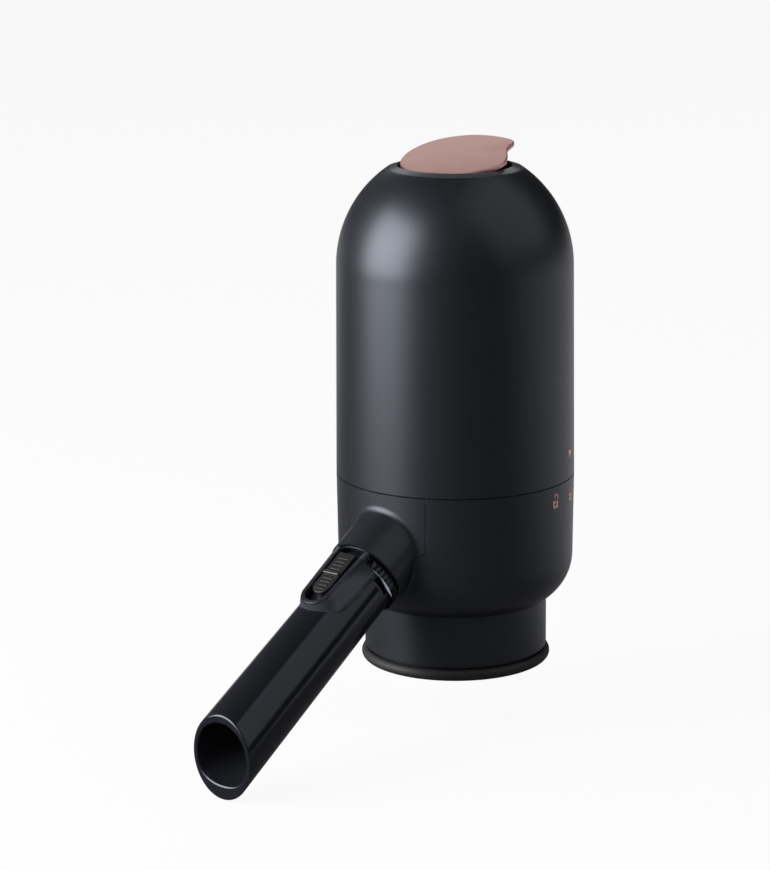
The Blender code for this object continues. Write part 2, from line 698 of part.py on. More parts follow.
def make_wine_elbow(finish):
    """Upright barrel from the dip tube, arm to the spout's socket, and the air nipple behind it."""
    foot = PLATE_TOP + GAP
    elbow = turned("wine_elbow", disc(ELBOW_RADIUS, foot, ELBOW_TOP), SMALL_STEPS, finish, ring=False)
    cup_front = -SOCKET_INSERT - GAP
    hub_back = cup_front - CUP_THICK - HUB_LENGTH
    arm_at = (0.0, 0.0, ELBOW_ARM_Z)
    nipple_at = (0.0, 0.0, AIR_NIPPLE_Z)
    join(elbow,
         rod("elbow_foot", ELBOW_FOOT_RADIUS, foot, foot + ELBOW_FOOT_THICK),
         rod("elbow_arm", ELBOW_ARM_RADIUS, 0.0, ELBOW_ARM_REACH, at=arm_at, turn=ALONG_Y),
         rod("elbow_hub", HUB_RADIUS, hub_back, cup_front - CUP_THICK / 2, None, SPOUT_FRAME),
         rod("elbow_cup", CUP_RADIUS, cup_front - CUP_THICK, cup_front, None, SPOUT_FRAME, steps=RING_STEPS),
         rod("elbow_nipple", AIR_NIPPLE_RADIUS, -AIR_NIPPLE_REACH, 0.0, at=nipple_at, turn=ALONG_Y,
             steps=FINE_STEPS))
    cut(elbow,
        rod("elbow_bore", ELBOW_BORE, foot - OVERRUN, ELBOW_ARM_Z + ELBOW_BORE / 3, steps=SMALL_STEPS),
        rod("arm_bore", ELBOW_BORE - GAP, -ELBOW_BORE / 3, ELBOW_ARM_REACH - GAP, at=arm_at, turn=ALONG_Y,
            steps=FINE_STEPS),
        rod("hub_bore", HUB_BORE, hub_back + OVERRUN, cup_front + OVERRUN, None, SPOUT_FRAME),
        rod("air_well", AIR_WELL_RADIUS, AIR_NIPPLE_Z - AIR_NIPPLE_BORE, ELBOW_TOP + OVERRUN, steps=FINE_STEPS),
        rod("nipple_bore", AIR_NIPPLE_BORE, -AIR_NIPPLE_REACH - OVERRUN, 0.0, at=nipple_at, turn=ALONG_Y,
            steps=FINE_STEPS))
    return elbow


def make_nozzle(finish):
    """Narrow throat in the elbow's hub that draws air into the wine."""
    front = -SOCKET_INSERT - GAP
    outer = HUB_BORE - GAP
    back = front - NOZZLE_LENGTH
    middle = (front + back) / 2
    profile = [(outer, front), (outer, back), (outer * 2 / 3, back), (NOZZLE_THROAT, middle), (outer * 2 / 3, front)]
    return turned("aeration_nozzle", profile, FINE_STEPS, finish, SPOUT_FRAME)


def make_air_coupling(finish):
    low = ELBOW_TOP + GAP
    return turned("air_coupling", band(COUPLING_BORE, COUPLING_RADIUS, low, low + COUPLING_THICK), SMALL_STEPS, finish)


def make_air_pipe(finish):
    """From the elbow's nipple, over and down to the port plate."""
    start = AIR_NIPPLE_REACH + GAP
    bend_y = AIR_PORT_REACH - PIPE_BEND
    points = [(0.0, start, AIR_NIPPLE_Z)] if start < bend_y else []
    centre = (0.0, max(start, bend_y), AIR_NIPPLE_Z - PIPE_BEND)
    bend = AIR_PORT_REACH - centre[1]
    for index in range(7):
        angle = math.pi / 2 * (1 - index / 6)
        points.append((0.0, centre[1] + bend * math.cos(angle), centre[2] + PIPE_BEND * math.sin(angle)))
    points.append((0.0, AIR_PORT_REACH, PLATE_TOP + GAP))
    return wire("air_pipe", points, PIPE_RADIUS, finish)


def lug_blocks(name, reach, width, low, high, turn):
    """Bars that stand out round the boss, for its lugs or for the deck's slots."""
    inside = BOSS_RADIUS - SHELL_WALL
    bars = []
    for index, angle in enumerate(around(LUG_COUNT)):
        bars.append(block(f"{name}_{index + 1}", (inside, -width / 2, low), (reach, width / 2, high),
                          turn=(0.0, 0.0, angle + turn)))
    return bars


def make_top_deck(finish):
    deck = turned("top_deck", band(BOSS_RADIUS + GAP, DECK_EDGE, DECK_Z, DECK_TOP), RING_STEPS, finish)
    slots = lug_blocks("deck_slot", LUG_REACH + GAP, SLOT_WIDTH, DECK_Z - OVERRUN, DECK_TOP + OVERRUN, -TWIST_ANGLE)
    return cut(deck, *slots)


def make_upper_base(finish):
    """Floor of the upper unit with the bayonet boss under it."""
    profile = [(BASE_RADIUS, BASE_TOP), (BASE_RADIUS, BASE_Z), (BOSS_RADIUS, BASE_Z), (BOSS_RADIUS, BOSS_Z)]
    profile += [(AIR_TUBE_RADIUS + GAP, BOSS_Z), (AIR_TUBE_RADIUS + GAP, BASE_TOP)]
    base = turned("upper_base", profile, RING_STEPS, finish)
    return join(base, *lug_blocks("lug", LUG_REACH, LUG_WIDTH, BOSS_Z, BOSS_Z + LUG_THICK, 0.0))


def make_air_outlet_tube(finish):
    return turned("air_outlet_tube", band(AIR_TUBE_BORE, AIR_TUBE_RADIUS, BOSS_Z + GAP, PUMP_Z - GAP), FINE_STEPS,
                  finish)


def make_dome_housing(finish):
    """Upper housing: straight skirt, elliptical dome, and the rebated opening for the button's bezel."""
    ledge_z = BASE_TOP + GAP
    outer_end = dome_angle(OPENING_REBATE, TOP_RADIUS)
    inner_end = dome_angle(OPENING_RADIUS, DOME_INNER_RADIUS)
    rim_z = DOME_Z + DOME_RISE * math.sin(math.radians(outer_end))
    outer = ellipse_arc((0.0, DOME_Z), TOP_RADIUS, DOME_RISE, outer_end, 0, 10)
    inner = ellipse_arc((0.0, DOME_Z), DOME_INNER_RADIUS, DOME_INNER_RISE, 0, inner_end, 3)
    bottom = SEAM_Z + GAP
    profile = outer + [(BODY_RADIUS, bottom + EDGE_ROUND / 2), (BODY_RADIUS - EDGE_ROUND / 2, bottom)]
    profile += [(BASE_RADIUS + GAP, bottom), (BASE_RADIUS + GAP, ledge_z), (DOME_INNER_RADIUS, ledge_z)]
    profile += inner + [(OPENING_RADIUS, rim_z - OPENING_LEDGE), (OPENING_REBATE, rim_z - OPENING_LEDGE)]
    return turned("dome_housing", profile, HOUSING_STEPS, finish)


def make_carrier(finish):
    """Core tube round the pump, with a fin between cells and a plate over them."""
    outer = CORE_INNER + CORE_WALL
    top = CARRIER_TOP_Z + CARRIER_TOP_THICK
    profile = [(CARRIER_TOP_RADIUS, top), (CARRIER_TOP_RADIUS, CARRIER_TOP_Z), (outer, CARRIER_TOP_Z)]
    profile += [(outer, BASE_TOP + GAP), (CORE_INNER, BASE_TOP + GAP), (CORE_INNER, top)]
    carrier = turned("battery_carrier", profile, RING_STEPS, finish)
    for index, angle in enumerate(around(CELL_COUNT, 30.0)):
        cut(carrier, rod(f"carrier_hole_{index + 1}", CONTACT_HOLE, CARRIER_TOP_Z - OVERRUN, top + OVERRUN,
                         at=ring_spot(CELL_RING, angle)))
    fin_z = BASE_TOP + GAP + FIN_LIFT
    for index, angle in enumerate(around(CELL_COUNT, 0.0)):
        join(carrier, block(f"carrier_fin_{index + 1}", (CORE_INNER + CORE_WALL / 2, -FIN_THICK / 2, fin_z),
                            (FIN_REACH, FIN_THICK / 2, (CARRIER_TOP_Z + top) / 2), turn=(0.0, 0.0, angle)))
    return carrier


def make_contact_boards(finish):
    inner = CORE_INNER + CORE_WALL + GAP
    low = BASE_TOP + GAP
    lower = turned("lower_contact_board", band(inner, CONTACT_RING_OUTER, low, low + BOARD_THICK), RING_STEPS, finish)
    upper = turned("upper_contact_board", band(inner, CONTACT_RING_OUTER, CONTACT_TOP_Z,
                                               CONTACT_TOP_Z + BOARD_THICK), RING_STEPS, finish)
    top = low + BOARD_THICK + CONTACT_SPRING_HEIGHT
    middle = low + BOARD_THICK / 2
    for index, angle in enumerate(around(CELL_COUNT, 30.0)):
        spot = ring_spot(CELL_RING, angle)
        cone = [(0.0, top), (CONTACT_SPRING_TOP, top), (CONTACT_SPRING_FOOT, middle), (0.0, middle)]
        join(lower, turned(f"contact_spring_{index + 1}", cone, FINE_STEPS, at=spot, ring=False))
        join(upper, rod(f"contact_pin_{index + 1}", CONTACT_PIN, CELL_TOP + GAP, CONTACT_TOP_Z + BOARD_THICK / 2,
                        at=spot, steps=FINE_STEPS))


def make_cells(finish):
    """Six cells, each second one upside down."""
    for index, angle in enumerate(around(CELL_COUNT, 30.0)):
        shoulder = CELL_LENGTH - CELL_NUB_HEIGHT
        profile = [(0.0, CELL_LENGTH), (CELL_NUB_RADIUS, CELL_LENGTH), (CELL_NUB_RADIUS, shoulder)]
        profile += [(CELL_RADIUS - EDGE_ROUND, shoulder), (CELL_RADIUS, shoulder - EDGE_ROUND)]
        profile += [(CELL_RADIUS, EDGE_ROUND), (CELL_RADIUS - EDGE_ROUND, 0.0), (0.0, 0.0)]
        flipped = index % 2 == 1
        height = CELL_Z + CELL_LENGTH if flipped else CELL_Z
        turn = (math.pi, 0.0, 0.0) if flipped else (0.0, 0.0, 0.0)
        turned(f"cell_{index + 1}", profile, SMALL_STEPS, finish, at=ring_spot(CELL_RING, angle, height), ring=False,
               turn=turn)


def make_pump_head(finish):
    top = PUMP_Z + PUMP_HEAD_HEIGHT
    flange = PUMP_Z + PUMP_FLANGE_LIFT
    profile = [(0.0, top), (PUMP_RADIUS, top), (PUMP_RADIUS, flange + PUMP_FLANGE_THICK)]
    profile += [(PUMP_FLANGE, flange + PUMP_FLANGE_THICK), (PUMP_FLANGE, flange), (PUMP_RADIUS, flange)]
    profile += [(PUMP_RADIUS, PUMP_Z), (0.0, PUMP_Z)]
    head = turned("pump_head", profile, RING_STEPS, finish, ring=False)
    return cut(head, rod("pump_outlet", AIR_TUBE_BORE, PUMP_Z - OVERRUN, PUMP_Z + PUMP_FLANGE_THICK,
                         steps=FINE_STEPS))


def make_diaphragm(finish):
    body = rod("pump_diaphragm", PUMP_RADIUS, DIAPHRAGM_Z, DIAPHRAGM_Z + DIAPHRAGM_THICK, finish, steps=RING_STEPS)
    middle = DIAPHRAGM_Z + DIAPHRAGM_THICK / 2
    top = DIAPHRAGM_Z + DIAPHRAGM_THICK + DIAPHRAGM_CUP_HEIGHT
    for index, angle in enumerate(around(DIAPHRAGM_CUPS)):
        join(body, rod(f"diaphragm_cup_{index + 1}", DIAPHRAGM_CUP_RADIUS, middle, top,
                       at=ring_spot(DIAPHRAGM_CUP_RING, angle), steps=FINE_STEPS))
    return body


def make_pump_frame(finish):
    inner = PUMP_RADIUS - FRAME_WALL
    roof = FRAME_TOP - FRAME_WALL
    profile = [(PUMP_RADIUS, FRAME_TOP), (PUMP_RADIUS, FRAME_Z), (inner, FRAME_Z), (inner, roof)]
    profile += [(FRAME_HOLE, roof), (FRAME_HOLE, FRAME_TOP)]
    return turned("pump_frame", profile, RING_STEPS, finish)


def make_rocker(finish):
    hub_top = ROCKER_Z + ROCKER_THICK + ROCKER_HUB_HEIGHT
    floor = ROCKER_Z + ROCKER_THICK / 2
    profile = [(0.0, floor), (ROCKER_BORE, floor), (ROCKER_BORE, hub_top), (ROCKER_HUB_RADIUS, hub_top)]
    profile += [(ROCKER_HUB_RADIUS, ROCKER_Z + ROCKER_THICK), (ROCKER_RADIUS, ROCKER_Z + ROCKER_THICK)]
    profile += [(ROCKER_RADIUS, ROCKER_Z), (0.0, ROCKER_Z)]
    return turned("pump_rocker", profile, SMALL_STEPS, finish, ring=False)


def make_crank(finish):
    """The motor's shaft with its crank disc and the pin that swings the rocker."""
    disc_z = ROCKER_Z + ROCKER_THICK + ROCKER_HUB_HEIGHT + GAP
    disc_top = disc_z + CRANK_THICK
    profile = [(0.0, disc_top + SHAFT_LENGTH), (SHAFT_RADIUS, disc_top + SHAFT_LENGTH), (SHAFT_RADIUS, disc_top)]
    profile += [(CRANK_RADIUS, disc_top), (CRANK_RADIUS, disc_z), (0.0, disc_z)]
    crank = turned("motor_crank", profile, SMALL_STEPS, finish, ring=False)
    return join(crank, rod("crank_pin", CRANK_PIN_RADIUS, disc_z - CRANK_PIN_LENGTH, disc_z + CRANK_THICK / 2,
                           at=(CRANK_THROW, 0.0, 0.0), steps=FINE_STEPS))


def make_motor(finish):
    cap_top = MOTOR_TOP + MOTOR_CAP_HEIGHT
    bore = SHAFT_RADIUS + GAP
    bore_top = ROCKER_Z + ROCKER_THICK + ROCKER_HUB_HEIGHT + GAP + CRANK_THICK + SHAFT_LENGTH + GAP
    profile = [(0.0, cap_top), (MOTOR_CAP_RADIUS, cap_top), (MOTOR_CAP_RADIUS, MOTOR_TOP)]
    profile += [(MOTOR_RADIUS - EDGE_ROUND, MOTOR_TOP), (MOTOR_RADIUS, MOTOR_TOP - EDGE_ROUND)]
    profile += [(MOTOR_RADIUS, MOTOR_Z), (bore, MOTOR_Z), (bore, bore_top), (0.0, bore_top)]
    return turned("motor_can", profile, RING_STEPS, finish, ring=False)


def make_damper(finish):
    low = MOTOR_Z + DAMPER_LIFT
    return turned("motor_damper", band(MOTOR_RADIUS + GAP, CORE_INNER - GAP, low, low + DAMPER_HEIGHT), RING_STEPS,
                  finish)


def make_bezel(finish):
    """Cup round the button: chamfered rim, finger notch behind, hinge ears and board posts."""
    wall = BEZEL_INNER + BEZEL_WALL
    edge_z = BEZEL_TOP - BEZEL_CHAMFER_DROP
    rim_z = DOME_Z + DOME_RISE * math.sin(math.radians(dome_angle(OPENING_REBATE, TOP_RADIUS)))
    flange_z = min(rim_z, edge_z) - OPENING_LEDGE + GAP
    bezel = turned("button_bezel", bezel_profile(wall, edge_z, flange_z), HOUSING_STEPS, finish, ring=False)
    ear_top = HINGE_Z + EAR_HALF_DEPTH
    ear_inner = HINGE_BARREL_HALF + GAP
    for side in (-1, 1):
        near, far = sorted((side * ear_inner, side * (ear_inner + EAR_THICK)))
        join(bezel, block(f"ear_{side + 2}", (near, HINGE_Y - EAR_HALF_DEPTH, BEZEL_Z - BEZEL_FLOOR / 2),
                          (far, HINGE_Y + EAR_HALF_DEPTH, ear_top)))
        post_at = (side * POST_REACH, POST_Y, 0.0)
        join(bezel, rod(f"post_{side + 2}", POST_RADIUS, FLOOR_Z - POST_LENGTH, FLOOR_Z + BEZEL_FLOOR / 2, at=post_at,
                        steps=FINE_STEPS))
        cut(bezel, rod(f"post_bore_{side + 2}", POST_BORE, FLOOR_Z - POST_LENGTH - OVERRUN, FLOOR_Z - GAP, at=post_at,
                       steps=FINE_STEPS))
    notch_low = BEZEL_TOP - NOTCH_DEPTH
    cut(bezel,
        rod("hinge_bore", HINGE_PIN_RADIUS + GAP, -HINGE_PIN_HALF - GAP, HINGE_PIN_HALF + GAP,
            at=(0.0, HINGE_Y, HINGE_Z), turn=ALONG_X, steps=FINE_STEPS),
        rod("press_hole", PRESS_HOLE, FLOOR_Z - OVERRUN, BEZEL_Z + OVERRUN, at=(0.0, PRESS_Y, 0.0),
            steps=FINE_STEPS),
        block("finger_notch", (-NOTCH_HALF_WIDTH, 0.0, notch_low), (NOTCH_HALF_WIDTH, BODY_RADIUS, BEZEL_TOP + GAP)))
    return bezel


def bezel_profile(wall, edge_z, flange_z):
    """From the cup's floor inside, up the wall, over the chamfered rim and down the outside."""
    profile = [(0.0, BEZEL_Z), (BEZEL_INNER, BEZEL_Z), (BEZEL_INNER, BEZEL_TOP)]
    profile += [(BEZEL_FLANGE - BEZEL_CHAMFER_WIDTH, BEZEL_TOP), (BEZEL_FLANGE, edge_z), (BEZEL_FLANGE, flange_z)]
    profile += [(wall, flange_z), (wall, FLOOR_Z), (0.0, FLOOR_Z)]
    return profile


def make_hinge_pin(finish):
    return rod("hinge_pin", HINGE_PIN_RADIUS, -HINGE_PIN_HALF, HINGE_PIN_HALF, finish, at=(0.0, HINGE_Y, HINGE_Z),
               turn=ALONG_X, steps=FINE_STEPS)


def make_lever(finish):
    """Black lever under the leaf, with the hinge barrel and the pin that presses the switch."""
    top = -LEAF_THICK - GAP
    low = top - LEVER_THICK
    lever = turned("button_lever", disc(LEVER_RADIUS, low, top), RING_STEPS, finish, LEAF_FRAME, ring=False)
    slope = math.tan(LEAF_TILT)
    web_top = LEAF_Z + (HINGE_Y - HINGE_WEB_HALF) * slope + (low + top) / 2 / math.cos(LEAF_TILT)
    pin_top = LEAF_Z + PRESS_Y * slope + (low + top) / 2 / math.cos(LEAF_TILT)
    join(lever,
         rod("hinge_barrel", HINGE_BARREL_RADIUS, -HINGE_BARREL_HALF, HINGE_BARREL_HALF, at=(0.0, HINGE_Y, HINGE_Z),
             turn=ALONG_X),
         block("hinge_web", (-HINGE_BARREL_HALF, HINGE_Y - HINGE_WEB_HALF, HINGE_Z),
               (HINGE_BARREL_HALF, HINGE_Y + HINGE_WEB_HALF, web_top)),
         rod("press_pin", PRESS_PIN_RADIUS, PLUNGER_TOP + GAP, pin_top, at=(0.0, PRESS_Y, 0.0), steps=FINE_STEPS))
    return cut(lever, rod("barrel_bore", HINGE_PIN_RADIUS + GAP, -HINGE_PIN_HALF, HINGE_PIN_HALF,
                          at=(0.0, HINGE_Y, HINGE_Z), turn=ALONG_X, steps=FINE_STEPS))


# Degrees from the spout's side towards +X, and the share of the tip's rise over the leaf's circle there
LEAF_TIP_SHARES = ((0, 0.0), (98, 0.0), (118, -0.26), (134, -0.16), (143, 0.36), (150, 0.74), (157, 1.0), (166, 0.9),
                   (182, 0.55), (197, 0.2), (212, 0.0), (360, 0.0))


def leaf_outline():
    """A circle whose rear swells to one hooked tip with a hollow in front of it."""
    radius = LEAF_RADIUS - LEAF_ROUND
    rise = LEAF_TIP_RADIUS - LEAF_RADIUS
    points = []
    for index in range(LEAF_STEPS):
        degrees = 360 * index / LEAF_STEPS
        for (before, low), (after, high) in zip(LEAF_TIP_SHARES, LEAF_TIP_SHARES[1:]):
            if before <= degrees <= after:
                swell = low + (high - low) * (degrees - before) / (after - before)
        angle = math.radians(degrees)
        reach = radius + rise * swell
        points.append((reach * math.sin(angle), -reach * math.cos(angle)))
    return points


def make_leaf(finish):
    return outline_plate("button_leaf", leaf_outline(), LEAF_THICK, finish, LEAF_FRAME, rounding=LEAF_ROUND)


def make_return_spring(finish):
    """Coil between the bezel's floor and the lever."""
    low = BEZEL_Z + GAP + SPRING_WIRE
    under = LEAF_Z + SPRING_Y * math.tan(LEAF_TILT) - (LEAF_THICK + GAP + LEVER_THICK) / math.cos(LEAF_TILT)
    high = under - SPRING_SHORT - SPRING_WIRE - GAP
    total = SPRING_TURNS * SPRING_TURN_POINTS
    points = []
    for index in range(total + 1):
        angle = 2 * math.pi * index / SPRING_TURN_POINTS
        points.append((SPRING_RADIUS * math.cos(angle), SPRING_Y + SPRING_RADIUS * math.sin(angle),
                       low + (high - low) * index / total))
    return wire("return_spring", points, SPRING_WIRE, finish, roundness=1)


def make_control_board(finish):
    board = rod("control_board", BOARD_RADIUS, BOARD_Z, BOARD_Z + BOARD_THICK, finish, steps=RING_STEPS)
    for side in (-1, 1):
        cut(board, rod(f"board_hole_{side + 2}", BOARD_SCREW_SHANK + GAP, BOARD_Z - OVERRUN,
                       BOARD_Z + BOARD_THICK + OVERRUN, at=(side * POST_REACH, POST_Y, 0.0), steps=FINE_STEPS))
    return board


def make_board_screws(finish):
    head = BOARD_Z - GAP
    low = head - SCREW_HEAD_HEIGHT
    for side in (-1, 1):
        profile = [(0.0, head + BOARD_SCREW_LENGTH), (BOARD_SCREW_SHANK, head + BOARD_SCREW_LENGTH)]
        profile += [(BOARD_SCREW_SHANK, head), (BOARD_SCREW_HEAD, head), (BOARD_SCREW_HEAD, low), (0.0, low)]
        turned(f"board_screw_{(side + 3) // 2}", profile, FINE_STEPS, finish, at=(side * POST_REACH, POST_Y, 0.0),
               ring=False)


def make_switch(finish, plunger_finish):
    body = block("switch_body", (-SWITCH_HALF, PRESS_Y - SWITCH_HALF, SWITCH_Z),
                 (SWITCH_HALF, PRESS_Y + SWITCH_HALF, SWITCH_TOP), finish)
    cut(body, rod("switch_bore", PLUNGER_RADIUS + GAP, SWITCH_TOP - PLUNGER_BORE_DEPTH, SWITCH_TOP + OVERRUN,
                  at=(0.0, PRESS_Y, 0.0)))
    rod("switch_plunger", PLUNGER_RADIUS, PLUNGER_TOP - PLUNGER_LENGTH, PLUNGER_TOP, plunger_finish,
        at=(0.0, PRESS_Y, 0.0))


def lead_points(start, end):
    """A slack wire that leaves both ends upright."""
    points = []
    for index in range(LEAD_POINTS):
        share = index / (LEAD_POINTS - 1)
        ease = share * share * (3 - 2 * share)
        x = start[0] + (end[0] - start[0]) * ease
        y = start[1] + (end[1] - start[1]) * ease
        points.append((x, y, start[2] + (end[2] - start[2]) * share))
    return points


def make_leads(red, black):
    """Two wires from the cells and two from the motor, up to the control board."""
    board = BOARD_Z - GAP
    contact = CONTACT_TOP_Z + BOARD_THICK + GAP
    motor = MOTOR_TOP + GAP
    for side, finish in ((1, red), (2, black)):
        sign = 3 - 2 * side
        top = (sign * BOARD_RADIUS * LEAD_TOP_SHARE, BOARD_RADIUS * LEAD_TOP_SHARE, board)
        wire(f"battery_lead_{side}", lead_points((sign * BATTERY_LEAD_REACH, BOARD_RADIUS * LEAD_TOP_SHARE, contact),
                                                 top), LEAD_RADIUS, finish, roundness=1)
        top = (sign * MOTOR_LEAD_REACH, -BOARD_RADIUS * LEAD_TOP_SHARE, board)
        wire(f"motor_lead_{side}", lead_points((sign * MOTOR_LEAD_REACH * 4 / 3, 0.0, motor), top), LEAD_RADIUS, finish,
             roundness=1)


def tube_radius_at(distance):
    """Outer radius of the spout at a distance from the socket's mouth."""
    return TUBE_RADIUS + (TUBE_TIP_RADIUS - TUBE_RADIUS) * distance / SPOUT_LENGTH


def stadium(half_width, start, end, count=8):
    """Outline of a pod in the spout's plan: square at the socket, round at the nose."""
    centre = end - half_width
    points = [(half_width, start)]
    for index in range(count + 1):
        angle = math.pi * index / count
        points.append((half_width * math.cos(angle), centre + half_width * math.sin(angle)))
    points.append((-half_width, start))
    return points


def plan_plate(name, outline, low, high, finish=None, rounding=0.0):
    """A plate over the spout: its outline runs across and along the spout, its height is off the spout's axis."""
    flipped = [(x, -z) for x, z in outline]
    return outline_plate(name, flipped, high - low, finish, SPOUT_FRAME, (0.0, high, 0.0), rounding, ALONG_FLAT)


ALONG_FLAT = (-math.pi / 2, 0.0, 0.0)


def make_spout(finish):
    """Glossy tube with ring grooves on its plug, a shoulder, air slots, the slider's pod and a slanted tip."""
    plug = TUBE_RADIUS - PLUG_INSET
    tip = SPOUT_LENGTH + TUBE_TIP_RADIUS
    profile = [(plug - EDGE_ROUND, -SPOUT_INSERT), (plug, -SPOUT_INSERT + EDGE_ROUND)]
    for index in range(2):
        start = -SPOUT_INSERT + GROOVE_WIDTH + GROOVE_PITCH * index
        profile += [(plug, start), (plug - GROOVE_DEPTH, start), (plug - GROOVE_DEPTH, start + GROOVE_WIDTH)]
        profile += [(plug, start + GROOVE_WIDTH)]
    profile += [(plug, GAP), (SHOULDER_RADIUS, GAP), (SHOULDER_RADIUS, GAP + SHOULDER_LENGTH)]
    profile += [(TUBE_RADIUS, GAP + SHOULDER_LENGTH), (tube_radius_at(tip), tip)]
    profile += [(0.0, tip)]
    profile.insert(0, (0.0, -SPOUT_INSERT))
    profile.reverse()
    spout = turned("spout_tube", profile, RING_STEPS, finish, SPOUT_FRAME, ring=False)
    pod = plan_plate("pod_block", stadium(POD_HALF_WIDTH - POD_ROUND, POD_START + POD_ROUND, POD_END - POD_ROUND),
                     POD_ROOT, POD_TOP, rounding=POD_ROUND)
    tip_box = block("tip_cut", (-BODY_RADIUS, -BODY_RADIUS, 0.0), (BODY_RADIUS, BODY_RADIUS, BODY_RADIUS), None,
                    SPOUT_FRAME, (0.0, 0.0, SPOUT_LENGTH), (-TIP_ANGLE, 0.0, 0.0))
    cut(spout, tip_box)
    join(spout, pod)
    well = plan_plate("pod_well", stadium(POD_HALF_WIDTH - POD_RIM, -OVERRUN, POD_END - POD_RIM), POD_FLOOR,
                      POD_TOP + OVERRUN)
    bore = turned("spout_bore", [(0.0, tip + OVERRUN), (BORE_TIP_RADIUS, tip + OVERRUN),
                                 (BORE_RADIUS, -SPOUT_INSERT - OVERRUN), (0.0, -SPOUT_INSERT - OVERRUN)],
                  RING_STEPS, None, SPOUT_FRAME, ring=False)
    cut(spout, bore, well)
    slot_z = GAP + SHOULDER_LENGTH + AIR_SLOT_START
    for side in (-1, 1):
        near, far = sorted((side * AIR_SLOT_DEPTH, side * (SHOULDER_RADIUS + OVERRUN)))
        cut(spout, block(f"air_slot_{side + 2}", (near, -AIR_SLOT_LOW, slot_z), (far, AIR_SLOT_HIGH,
                                                                             slot_z + AIR_SLOT_WIDTH), None,
                         SPOUT_FRAME))
    return spout


def make_orings(finish):
    centre = TUBE_RADIUS - PLUG_INSET - GROOVE_DEPTH + GAP + ORING_WIRE
    for index in range(2):
        middle = -SPOUT_INSERT + GROOVE_WIDTH * 3 / 2 + GROOVE_PITCH * index
        profile = ellipse_arc((centre, middle), ORING_WIRE, ORING_WIRE, 90, -270, 8)[:-1]
        turned(f"spout_ring_{index + 1}", profile, SMALL_STEPS, finish, SPOUT_FRAME)


def make_slider(finish):
    """Two ridged finger pads parted by a raised rib, in the pod's well."""
    half = POD_HALF_WIDTH - POD_RIM - GAP
    low = POD_FLOOR + GAP
    top = low + SLIDER_THICK
    start = SLIDER_START
    end = SLIDER_START + SLIDER_LENGTH
    slider = plan_plate("flow_slider", stadium(half, start, end), low, top, finish)
    middle = (start + end) / 2
    ridge_half = half / 2
    overlap = SLIDER_THICK / 2
    join(slider, block("slider_rib", (-half + GAP, top - overlap, middle - SLIDER_RIB_WIDTH / 2),
                       (half - GAP, top + SLIDER_RIB, middle + SLIDER_RIB_WIDTH / 2), None, SPOUT_FRAME))
    pitch = (SLIDER_LENGTH / 2 - SLIDER_RIB_WIDTH) / (PAD_RIDGES + 1)
    for side in (-1, 1):
        for index in range(PAD_RIDGES):
            spot = middle + side * (SLIDER_RIB_WIDTH / 2 + pitch * (index + 1))
            join(slider, block(f"pad_ridge_{side + 2}_{index + 1}",
                               (-ridge_half, top - overlap, spot - PAD_RIDGE_WIDTH / 2),
                               (ridge_half, top + PAD_RIDGE_HEIGHT, spot + PAD_RIDGE_WIDTH / 2), None, SPOUT_FRAME))
    return slider


def build():
    soft_black = material("soft_black", SOFT_BLACK, 0.45)
    gloss_black = material("gloss_black", GLOSS_BLACK, 0.08)
    collar_grey = material("collar_grey", COLLAR_GREY, 0.35)
    rubber = material("rubber", RUBBER_BLACK, 0.6)
    rose_gold = material("rose_gold", ROSE_GOLD, 0.3, 1.0)
    silicone = material("silicone", SILICONE_GREY, 0.5)
    white_plastic = material("white_plastic", WHITE_PLASTIC, 0.4)
    steel = material("steel", STEEL, 0.25, 1.0)
    board = material("board", BOARD_GREEN, 0.4)
    cell = material("cell", CELL_BLUE, 0.35)
    red = material("lead_red", LEAD_RED, 0.4)
    black = material("lead_black", RUBBER_BLACK, 0.4)
    make_lower_housing(soft_black)
    make_front_panel(soft_black)
    make_collar(collar_grey)
    make_rim_gasket(rubber)
    make_bottle_seal(silicone)
    make_dip_tube_ring(silicone)
    make_air_valve(silicone)
    make_port_plate(white_plastic)
    make_plate_screws(steel)
    make_wine_elbow(white_plastic)
    make_nozzle(white_plastic)
    make_air_coupling(silicone)
    make_air_pipe(silicone)
    make_top_deck(soft_black)
    make_spout(gloss_black)
    make_orings(silicone)
    make_slider(gloss_black)
    make_upper_base(soft_black)
    make_air_outlet_tube(silicone)
    make_dome_housing(soft_black)
    make_carrier(white_plastic)
    make_contact_boards(steel)
    make_cells(cell)
    make_pump_head(white_plastic)
    make_diaphragm(silicone)
    make_pump_frame(white_plastic)
    make_rocker(white_plastic)
    make_crank(steel)
    make_motor(steel)
    make_damper(rubber)
    make_bezel(soft_black)
    make_hinge_pin(steel)
    make_lever(soft_black)
    make_leaf(rose_gold)
    make_return_spring(steel)
    make_control_board(board)
    make_board_screws(steel)
    make_switch(soft_black, white_plastic)
    make_leads(red, black)


build()
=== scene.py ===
# %% [markdown]
# # An electric wine aerator
#
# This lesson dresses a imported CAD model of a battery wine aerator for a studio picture. The CAD model says
# where every piece is. Here the pieces that show get smooth forms and every piece gets a finish of its own.
# All sizes are in metres. The spout points along -Y, +Z is up, and the bottle's lip is at the origin.

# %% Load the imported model
import json
import math

import bmesh
import bpy
from mathutils import Matrix, Quaternion, Vector


